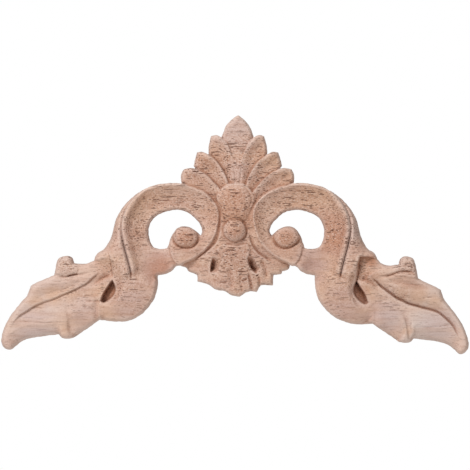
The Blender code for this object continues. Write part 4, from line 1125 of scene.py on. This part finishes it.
@dataclass
class CarvedPiece:
    """The whole onlay as one piece of wood, cut from its carving on a fine net."""

    carving: Carving
    hand: HandWork
    marks: BoardMarksAndPaintedLight
    step: float = 0.32
    wall_rings: tuple[float, ...] = (0.62, 0.3, 0.0)
    crease: float = math.radians(55)
    hollow_rounds: int = 24
    crevice_rounds: int = 4
    plain: float = 2.0
    trim_past: float = 0.4
    rounds: int = 3
    settle: float = 0.5
    probe: float = 0.05
    least_slope: float = 0.3
    longest_move: float = 0.2
    rim_ease: float = 1.0
    hand_from: float = 0.3
    hand_ease: float = 1.5

    def build(self) -> bpy.types.Object:
        """Make the piece's object.

        Returns:
            The object, at the origin, with its place in its mesh.
        """
        net = self.grid()
        self.trim(net)
        self.press(net)
        self.walls(net)
        upright = Matrix.Scale(MM, 4) @ Matrix.Rotation(math.pi / 2, 4, "X")
        bmesh.ops.transform(net, matrix=upright, verts=net.verts)
        low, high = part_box("corner_onlay")
        for v in net.verts:
            v.co = [min(max(place, least), most) for place, least, most in zip(v.co, low, high)]
        mesh = bpy.data.meshes.new("carved_onlay")
        net.to_mesh(mesh)
        net.free()
        mesh.shade_smooth()
        mesh.set_sharp_from_angle(angle=self.crease)
        piece = bpy.data.objects.new("carved_onlay", mesh)
        bpy.context.collection.objects.link(piece)
        return piece

    def grid(self) -> bmesh.types.BMesh:
        """Lay a net over the box of the drawing.

        Returns:
            The net, in drawing millimetres.
        """
        loops = np.vstack([form.loop for form in self.carving.forms])
        low, high = loops.min(axis=0) - self.step, loops.max(axis=0) + self.step
        middle, half = (low + high) / 2, (high - low) / 2
        place = Matrix.Translation((middle[0], middle[1], 0)) @ Matrix.Diagonal((half[0], half[1], 1, 1))
        net = bmesh.new()
        bmesh.ops.create_grid(net, x_segments=int(2 * half[0] / self.step),
                              y_segments=int(2 * half[1] / self.step), size=1.0, matrix=place)
        return net

    def trim(self, net: bmesh.types.BMesh) -> None:
        """Cut the net to the silhouette.

        Args:
            net: The net, which is changed.
        """
        at = np.array([v.co.xy for v in net.verts])
        away = self.carving.spread(at) < -self.trim_past * self.step
        bmesh.ops.delete(net, geom=[v for v, gone in zip(net.verts, away) if gone], context="VERTS")
        loose = [True]
        while loose:
            loose = [v for v in net.verts
                     if not v.link_faces or sum(edge.is_boundary for edge in v.link_edges) > 2]
            bmesh.ops.delete(net, geom=loose, context="VERTS")
        rim = [v for v in net.verts if v.is_boundary]
        for v, (x, z) in zip(rim, self.to_outline(np.array([v.co.xy for v in rim]))):
            v.co.x, v.co.y = x, z
        beside = {edge.other_vert(v) for v in rim for edge in v.link_edges}
        inner = [v for v in beside if not v.is_boundary]
        for _ in range(self.rounds):
            bmesh.ops.smooth_vert(net, verts=inner, factor=self.settle, use_axis_x=True, use_axis_y=True)

    def to_outline(self, at: Places) -> Places:
        """Move places near the silhouette onto it, by the slope of their distance to it.

        Args:
            at: The places.

        Returns:
            The moved places.
        """
        fray = self.hand.frayed(at)
        spread = self.carving.spread
        for _ in range(self.rounds):
            here = spread(at) - fray
            slope = np.column_stack([spread(at + way) - spread(at - way)
                                     for way in ([self.probe, 0], [0, self.probe])]) / (2 * self.probe)
            size = np.maximum(np.hypot(slope[:, 0], slope[:, 1]), self.least_slope)
            move = np.clip(here / size, -self.longest_move, self.longest_move)
            at = at - move[:, None] * slope / size[:, None]
        return at

    def press(self, net: bmesh.types.BMesh) -> None:
        """Give the net the carving's heights, and keep what the wood's finish reads.

        Args:
            net: The net, which is changed.
        """
        at = np.array([v.co.xy for v in net.verts])
        drawn = self.hand.shifted(at)
        spread = self.carving.spread(at)
        near_rim = ease(spread / self.rim_ease)[:, None]
        level = self.carving.height(at * (1 - near_rim) + drawn * near_rim, spread)
        level += self.hand.relief(at) * ease((spread + self.hand_from) / self.hand_ease)
        net.verts.index_update()
        pairs = np.array([[v.index for v in edge.verts] for edge in net.edges])
        # hollow and crevice: how far each place lies below its softened neighbours; the finish paints shade
        # where they are positive and highlights where they are negative.
        hollow = self.softened(level, pairs, self.hollow_rounds) - level
        crevice = self.softened(level, pairs, self.crevice_rounds) - level
        for v, height in zip(net.verts, level):
            v.co.z = height
        net.normal_update()
        self.keep(net, "hollow", hollow)
        self.keep(net, "crevice", crevice)
        self.keep(net, "end_grain", np.array([abs(v.normal.x) for v in net.verts]))
        # rim: distance inside the silhouette, near which the finish paints a pale highlight.
        self.keep(net, "rim", spread)
        for name, strength in self.marks.kept(at).items():
            self.keep(net, name, strength)

    def softened(self, level: np.ndarray, pairs: np.ndarray, rounds: int) -> np.ndarray:
        """Average each height with its neighbours' a number of times.

        Args:
            level: The heights.
            pairs: The neighbours, as pairs of places in that list.
            rounds: How many times.

        Returns:
            The softened heights.
        """
        count = len(level)
        shared = np.bincount(pairs.ravel(), minlength=count)
        for _ in range(rounds):
            total = (np.bincount(pairs[:, 0], level[pairs[:, 1]], count)
                     + np.bincount(pairs[:, 1], level[pairs[:, 0]], count))
            level = (level + total) / (1 + shared)
        return level

    def keep(self, net: bmesh.types.BMesh, name: str, values: np.ndarray) -> None:
        """Keep a value at each corner of the net, for the finish to read.

        Args:
            net: The net, which is changed.
            name: The value's name.
            values: The values.
        """
        layer = net.verts.layers.float.new(name)
        for v, value in zip(net.verts, values):
            v[layer] = value

    def walls(self, net: bmesh.types.BMesh) -> None:
        """Carry the silhouette back to the plane of the back in rings, and close the back plainly.

        Args:
            net: The net, which is changed.
        """
        ring = []
        for share in self.wall_rings:
            rim = [edge for edge in net.edges if edge.is_boundary]
            ring = [v for v in bmesh.ops.extrude_edge_only(net, edges=rim)["geom"]
                    if isinstance(v, bmesh.types.BMVert)]
            for v in ring:
                v.co.z *= share
        for v in ring:
            for layer in net.verts.layers.float.values():
                v[layer] = self.plain if layer.name == "rim" else 0.0
        back = [edge for edge in net.edges if edge.is_boundary]
        bmesh.ops.triangle_fill(net, edges=back, use_beauty=True, use_dissolve=False, normal=(0, 0, -1))
        bmesh.ops.triangulate(net, faces=net.faces)
        bmesh.ops.recalc_face_normals(net, faces=net.faces)


class MixSlot(Enum):
    """The sockets of the node that mixes two colours, by their number."""

    FACTOR = 0
    UNDER = 6
    OVER = 7
    RESULT = 2


class Value:
    """A number socket of a finish, whose operators add Math nodes."""

    def __init__(self, tree: "Finish", socket: bpy.types.NodeSocket) -> None:
        """Keep the socket and the tree that it belongs to."""
        self.tree = tree
        self.socket = socket

    def math(self, operation: str, *others: "Value | float", first: "Value | float | None" = None) -> "Value":
        """Add a Math node.

        Args:
            operation: The node's operation.
            others: Its inputs after this one.
            first: Its first input, where that isn't this one.

        Returns:
            The node's result.
        """
        inputs = [self if first is None else first, *others]
        return self.tree.node("ShaderNodeMath", {"operation": operation}, dict(enumerate(inputs)))

    def __add__(self, other: "Value | float") -> "Value":
        """Add."""
        return self.math("ADD", other)

    def __radd__(self, other: float) -> "Value":
        """Add to a number."""
        return self.math("ADD", other)

    def __sub__(self, other: "Value | float") -> "Value":
        """Subtract."""
        return self.math("SUBTRACT", other)

    def __rsub__(self, other: float) -> "Value":
        """Subtract from a number."""
        return self.math("SUBTRACT", self, first=other)

    def __mul__(self, other: "Value | float") -> "Value":
        """Multiply."""
        return self.math("MULTIPLY", other)

    def __rmul__(self, other: float) -> "Value":
        """Multiply a number."""
        return self.math("MULTIPLY", other)

    def __truediv__(self, other: "Value | float") -> "Value":
        """Divide."""
        return self.math("DIVIDE", other)

    def __rtruediv__(self, other: float) -> "Value":
        """Divide a number."""
        return self.math("DIVIDE", self, first=other)

    def __pow__(self, other: float) -> "Value":
        """Raise to a power."""
        return self.math("POWER", other)

    def between(self, low: float, high: float) -> "Value":
        """Rise smoothly from 0 at the low value to 1 at the high one; falls where high is the lower.

        Args:
            low: Where the result is 0.
            high: Where the result is 1.

        Returns:
            The eased value.
        """
        falls = high < low
        settings = {"interpolation_type": "SMOOTHSTEP"}
        inputs = {"Value": self, "From Min": min(low, high), "From Max": max(low, high),
                  "To Min": 1.0 if falls else 0.0, "To Max": 0.0 if falls else 1.0}
        return self.tree.node("ShaderNodeMapRange", settings, inputs)


class Finish:
    """A material's node tree, with one method that adds any node."""

    def __init__(self, name: str) -> None:
        """Make the material with its shader."""
        self.material = bpy.data.materials.new(name)
        self.material.use_nodes = True
        self.nodes = self.material.node_tree.nodes
        self.links = self.material.node_tree.links
        self.shader = self.nodes["Principled BSDF"]

    def node(self, kind: str, settings: dict[str, object] | None = None,
             inputs: dict[str | int, object] | None = None, output: str | int = 0) -> Value:
        """Add a node.

        Args:
            kind: The node's type.
            settings: Its settings, which are set first.
            inputs: The value, or the socket to link, of each input that is used.
            output: The output to give back.

        Returns:
            The output as a value.
        """
        made = self.nodes.new(kind)
        for name, setting in (settings or {}).items():
            setattr(made, name, setting)
        for name, given in (inputs or {}).items():
            self.feed(made.inputs[name], given)
        return Value(self, made.outputs[output])

    def feed(self, socket: bpy.types.NodeSocket, given: object) -> None:
        """Link or set one input.

        Args:
            socket: The input.
            given: A value to link, or a plain setting.
        """
        if isinstance(given, Value):
            self.links.new(given.socket, socket)
        else:
            socket.default_value = given

    def finished(self, looks: dict[str, object]) -> bpy.types.Material:
        """Feed the shader.

        Args:
            looks: The value, or the socket to link, of each input by its name.

        Returns:
            The material.
        """
        for name, given in looks.items():
            self.feed(self.shader.inputs[name], given)
        return self.material

    def place(self, stretch: Triple, turn: Triple = (0, 0, 0), shift: Triple = (0, 0, 0)) -> Value:
        """Give the object's coordinates, scaled and turned for a pattern.

        Args:
            stretch: The pattern's scale along X, Y and Z.
            turn: How it is turned.
            shift: Where it is moved to.

        Returns:
            The coordinates.
        """
        where = self.node("ShaderNodeTexCoord", output="Object")
        return self.node("ShaderNodeMapping", {}, {"Vector": where, "Location": shift, "Rotation": turn,
                                                   "Scale": stretch})

    def clouds(self, place: Value, detail: float, roughness: float = 0.55,
               distortion: float = 0.0) -> Value:
        """Add a noise.

        Args:
            place: Its coordinates.
            detail: How many layers it has.
            roughness: How strong the finer layers are.
            distortion: How far it is warped.

        Returns:
            Its value, from 0 to 1.
        """
        return self.node("ShaderNodeTexNoise", {"normalize": True},
                         {"Vector": place, "Scale": 1.0, "Detail": detail, "Roughness": roughness,
                          "Distortion": distortion})

    def cells(self, place: Value) -> Value:
        """Add a cell pattern, as the distance to the nearest cell's middle."""
        return self.node("ShaderNodeTexVoronoi", {"feature": "F1"},
                         {"Vector": place, "Scale": 1.0, "Randomness": 1.0}, "Distance")

    def kept(self, name: str) -> Value:
        """Read a value that the piece keeps at its corners."""
        return self.node("ShaderNodeAttribute", {"attribute_name": name}, {}, "Fac")

    def mixed(self, factor: Value | float, under: object, over: object) -> Value:
        """Lay one colour over another.

        Args:
            factor: How much of the upper colour shows.
            under: The lower colour.
            over: The upper colour.

        Returns:
            The mixed colour.
        """
        slots = MixSlot.FACTOR.value, MixSlot.UNDER.value, MixSlot.OVER.value
        return self.node("ShaderNodeMix", {"data_type": "RGBA"}, dict(zip(slots, (factor, under, over))),
                         MixSlot.RESULT.value)

    def layered(self, shade: Value, layers: list[tuple[Value, Colour]]) -> Value:
        """Lay colours over a ground, one after another.

        Args:
            shade: The ground.
            layers: How much of each colour shows, and the colour.

        Returns:
            The colour on top.
        """
        for factor, over in layers:
            shade = self.mixed(factor, shade, over)
        return shade

    def bumped(self, height: Value, strength: float, distance: float, under: Value | None = None) -> Value:
        """Add a Bump node.

        Args:
            height: The height from 0 to 1.
            strength: How much of it shows.
            distance: How deep it is, in metres.
            under: The normal that it adds to.

        Returns:
            The normal.
        """
        inputs = {"Height": height, "Strength": strength, "Distance": distance}
        if under is not None:
            inputs["Normal"] = under
        return self.node("ShaderNodeBump", {}, inputs)


@dataclass(frozen=True)
class RawWood:
    """Raw open-pored hardwood with its grain along X. Colours are linear; patterns are per metre."""

    name: str = "raw_wood"
    pale: Colour = (0.640, 0.455, 0.370, 1.0)
    rosy: Colour = (0.560, 0.365, 0.290, 1.0)
    amber: Colour = (0.590, 0.370, 0.245, 1.0)
    # Pale colour of the pale patches: partly the wood's own paler tone, partly painted light.
    pale_tone_and_light: Colour = (0.610, 0.520, 0.480, 1.0)
    mauve: Colour = (0.500, 0.365, 0.350, 1.0)
    pore_colour: Colour = (0.120, 0.048, 0.028, 1.0)
    # The colour of the painted shade along the grooves, veins and collar.
    groove_shade_colour: Colour = (0.130, 0.042, 0.020, 1.0)
    deep: Colour = (0.300, 0.130, 0.075, 1.0)
    russet: Colour = (0.400, 0.165, 0.085, 1.0)
    # Pale colour for the wood's white fuzz, and for the painted highlights on ridges and rims.
    dust_and_highlight: Colour = (0.740, 0.610, 0.550, 1.0)
    streak_scale: Triple = (45.0, 650.0, 650.0)
    fibre_scale: Triple = (260.0, 1900.0, 1900.0)
    fuzz_scale: Triple = (1500.0, 2300.0, 2300.0)
    band_scale: Triple = (9.0, 80.0, 80.0)
    band_turn: Triple = (0.0, 0.04, 0.0)
    ring_scale: Triple = (14.0, 260.0, 260.0)
    ring_turn: Triple = (0.0, 0.05, 0.0)
    patch_scale: Triple = (16.0, 34.0, 34.0)
    long_pores: Triple = (105.0, 1250.0, 1250.0)
    short_pores: Triple = (380.0, 1350.0, 1350.0)
    round_pits: Triple = (980.0, 1250.0, 1250.0)
    pore_size: Triple = (90.0, 420.0, 420.0)
    pore_spread: Triple = (25.0, 70.0, 70.0)
    pore_pit: float = 0.00025
    fibre_ridge: float = 0.00009
    shine: float = 0.25

    def dress(self, piece: bpy.types.Object) -> None:
        """Give the piece this finish."""
        piece.data.materials.clear()
        piece.data.materials.append(self.material())

    def material(self) -> bpy.types.Material:
        """Build the material.

        Returns:
            The finished material.
        """
        finish = Finish(self.name)
        rough = 0.29 + 0.75 * finish.kept("rough")
        pores = self.pores(finish) * rough
        fibre = finish.clouds(finish.place(self.fibre_scale), 2.0)
        fuzz = finish.clouds(finish.place(self.fuzz_scale), 1.0)
        streaks = finish.clouds(finish.place(self.streak_scale, shift=(2.0, 9.0, 4.0)), 3.0)
        shade = finish.layered(self.heartwood(finish), [
            (streaks.between(0.55, 0.30) * 0.26, self.deep),
            (fibre.between(0.50, 0.25) * rough * 0.52, self.deep),
            (fuzz.between(0.50, 0.25) * rough * 0.66, self.deep),
            (fuzz.between(0.52, 0.76) * rough * 0.48, self.dust_and_highlight)])
        # The painted shade and painted highlights of the carving are laid over the wood's colour here.
        shade = finish.mixed(pores * 0.76, self.with_painted_light(finish, shade), self.pore_colour)
        pits = finish.bumped(1 - pores, 0.6, self.pore_pit)
        normal = finish.bumped((fibre + fuzz + 0.5 * streaks) * rough, 0.5, self.fibre_ridge, pits)
        looks = {"Base Color": shade, "Roughness": 0.64 + 0.14 * fibre + 0.1 * pores, "Normal": normal,
                 "Specular IOR Level": self.shine}
        return finish.finished(looks)

    def heartwood(self, finish: Finish) -> Value:
        """Mix the wood's ground colours in long bands, paler and darker where the board is, with the painted
        warm shade and the partly painted pale and dark patches laid over them.

        Args:
            finish: The finish that is being made.

        Returns:
            The colour.
        """
        bands = finish.clouds(finish.place(self.band_scale, self.band_turn), 3.0, 0.6, 0.5)
        rings = finish.clouds(finish.place(self.ring_scale, self.ring_turn, (4.0, 2.0, 7.0)), 2.0)
        patches = finish.clouds(finish.place(self.patch_scale, shift=(3.0, 1.0, 2.0)), 2.0)
        return finish.layered(finish.mixed(bands.between(0.36, 0.64), self.rosy, self.pale), [
            (patches.between(0.45, 0.70) * 0.65, self.amber),
            # Pale patches: partly the wood's own paler tone, partly painted light.
            (0.75 * finish.kept("pale"), self.pale_tone_and_light),
            # Painted warm shade: amber laid where shade falls on the leaves' planes, their ribs, the eyes and
            # the hollows by the bead.
            (0.55 * finish.kept("warm_shade"), self.amber),
            (0.50 * finish.kept("cool"), self.mauve),
            (rings.between(0.45, 0.70) * 0.30, self.amber),
            # Dark patches: partly the wood's own darker tone, partly painted shade in the sunk eyes, the step
            # and the bed beside the tongue.
            (0.42 * finish.kept("dark"), self.russet)])

    def with_painted_light(self, finish: Finish, shade: Value) -> Value:
        """Darken the end grain, paint shade into the hollows, the crevices and the grooves, and paint pale
        highlights on ridges, proud edges and the rims of the silhouette.

        Args:
            finish: The finish that is being made.
            shade: The wood's own colour.

        Returns:
            The colour with the end grain, the painted shade and the painted highlights.
        """
        hollow = finish.kept("hollow")
        crevice = finish.kept("crevice")
        return finish.layered(shade, [
            (finish.kept("end_grain").between(0.25, 0.85) * 0.20, self.deep),
            # Painted shade: russet and deep colour laid into the hollows and crevices, where shade falls.
            (hollow.between(0.05, 0.60) * 0.12, self.russet),
            (hollow.between(0.25, 1.10) * 0.24, self.deep),
            (crevice.between(0.05, 0.22) * 0.38, self.deep),
            # Painted shade along the grooves, veins and collar.
            (finish.kept("groove_shade") * 0.88, self.groove_shade_colour),
            # Painted highlights: pale colour on ridges, proud edges and near the silhouette's rims, where
            # light catches.
            (crevice.between(-0.03, -0.16) * 0.08, self.dust_and_highlight),
            (hollow.between(-0.05, -0.40) * 0.16, self.dust_and_highlight),
            (finish.kept("rim").between(1.2, 0.2) * 0.45, self.dust_and_highlight)])

    def pores(self, finish: Finish) -> Value:
        """Scatter the open pores, long along the grain and round across it.

        Args:
            finish: The finish that is being made.

        Returns:
            A mask that is 1 in a pore.
        """
        long_ones = finish.cells(finish.place(self.long_pores))
        short_ones = finish.cells(finish.place(self.short_pores, shift=(5.0, 2.0, 8.0)))
        size = finish.clouds(finish.place(self.pore_size, shift=(7.0, 3.0, 5.0)), 2.0)
        sown = finish.clouds(finish.place(self.pore_spread, shift=(1.0, 6.0, 2.0)), 2.0)
        dashes = (long_ones - 0.47 * size).between(0.03, -0.05) * sown.between(0.26, 0.42)
        dots = (short_ones - 0.45 * size).between(0.04, -0.05) * sown.between(0.68, 0.50)
        pits = finish.cells(finish.place(self.round_pits, shift=(3.0, 4.0, 1.0)))
        ends = (pits - 0.42 * size).between(0.06, -0.05) * finish.kept("pitted")
        return dashes.math("MAXIMUM", dots).math("MAXIMUM", ends)


@dataclass
class Studio:
    """The white surroundings, the pale floor, the soft lights and the camera."""

    frame_width: float = 0.2009
    aim: Triple = (-0.00043, -0.008, -0.00192)
    distance: float = 2.0
    turn: float = math.radians(1.0)
    sensor: float = 36.0
    floor_drop: float = 0.17
    floor_half: tuple[float, float] = (2.5, 2.0)
    floor_back: float = 1.3
    ambient: float = 0.50
    key_place: Triple = (-0.45, -0.72, 0.68)
    key_size: float = 0.34
    key_power: float = 8.2
    fill_place: Triple = (0.70, -0.90, 0.20)
    fill_size: float = 0.8
    fill_power: float = 0.6
    soft_white: Colour = (1.0, 0.955, 0.915, 1.0)
    white: Colour = (1.0, 1.0, 1.0, 1.0)
    floor_colour: Colour = (0.86, 0.86, 0.85, 1.0)
    floor_roughness: float = 0.9
    sight: tuple[float, float] = (0.05, 20.0)

    def build(self) -> None:
        """Set up everything that isn't part of the object."""
        self.surroundings()
        self.floor()
        self.light("key", self.key_place, self.key_size, self.key_power)
        self.light("fill", self.fill_place, self.fill_size, self.fill_power)
        self.camera()
        bpy.context.scene.view_settings.view_transform = "Standard"

    def surroundings(self) -> None:
        """Make a world that looks white and lights the object softly."""
        world = bpy.data.worlds.new("studio")
        bpy.context.scene.world = world
        world.use_nodes = True
        tree = world.node_tree
        seen = tree.nodes.new("ShaderNodeLightPath")
        soft = tree.nodes["Background"]
        soft.inputs["Color"].default_value = self.soft_white
        soft.inputs["Strength"].default_value = self.ambient
        white = tree.nodes.new("ShaderNodeBackground")
        white.inputs["Color"].default_value = self.white
        white.inputs["Strength"].default_value = 1.0
        either = tree.nodes.new("ShaderNodeMixShader")
        tree.links.new(seen.outputs["Is Camera Ray"], either.inputs["Fac"])
        tree.links.new(soft.outputs[0], either.inputs[1])
        tree.links.new(white.outputs[0], either.inputs[2])
        tree.links.new(either.outputs[0], tree.nodes["World Output"].inputs["Surface"])

    def floor(self) -> None:
        """Lay a plain pale floor below the object."""
        net = bmesh.new()
        place = Matrix.Translation((0, self.floor_back - self.floor_half[1], -self.floor_drop))
        bmesh.ops.create_grid(net, x_segments=1, y_segments=1, size=1.0,
                              matrix=place @ Matrix.Diagonal((*self.floor_half, 1, 1)))
        mesh = bpy.data.meshes.new("floor")
        net.to_mesh(mesh)
        net.free()
        ground = bpy.data.objects.new("floor", mesh)
        bpy.context.collection.objects.link(ground)
        paint = {"Base Color": self.floor_colour, "Roughness": self.floor_roughness}
        mesh.materials.append(Finish("floor_paint").finished(paint))

    def light(self, name: str, place: Triple, size: float, power: float) -> None:
        """Hang a soft square light that faces the object.

        Args:
            name: Its name.
            place: Where it hangs.
            size: How wide it is.
            power: Its strength in watts.
        """
        lamp = bpy.data.lights.new(name, "AREA")
        lamp.size = size
        lamp.energy = power
        holder = bpy.data.objects.new(name, lamp)
        holder.location = place
        holder.rotation_euler = (Vector(self.aim) - Vector(place)).to_track_quat("-Z", "Y").to_euler()
        bpy.context.collection.objects.link(holder)

    def camera(self) -> None:
        """Place the camera in front of the object, with a long lens."""
        lens = bpy.data.cameras.new("camera")
        lens.sensor_width = self.sensor
        lens.lens = self.sensor * self.distance / self.frame_width
        lens.clip_start, lens.clip_end = self.sight
        holder = bpy.data.objects.new("camera", lens)
        back = Vector((math.sin(self.turn), -math.cos(self.turn), 0.0))
        holder.location = Vector(self.aim) + back * self.distance
        holder.rotation_euler = (-back).to_track_quat("-Z", "Y").to_euler()
        bpy.context.collection.objects.link(holder)
        bpy.context.scene.camera = holder


def corners(box: tuple[Vector, Vector]) -> list[list[float]]:
    """Give a box as plain lists."""
    return [list(corner) for corner in box]


def main() -> None:
    """Load the frame, dress it and set up the studio."""
    logging.basicConfig(level=logging.INFO, format="%(message)s")
    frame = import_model()
    LOG.info("frame: %d node", len(frame["nodes"]))
    onlay = CarvedPiece(Carving(), HandWork(), BoardMarksAndPaintedLight()).build()
    RawWood().dress(onlay)
    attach(onlay, "root")
    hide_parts("corner_onlay")
    LOG.info("%s: %d faces", onlay.name, len(onlay.data.polygons))
    Studio().build()


if __name__ == "__main__":
    main()
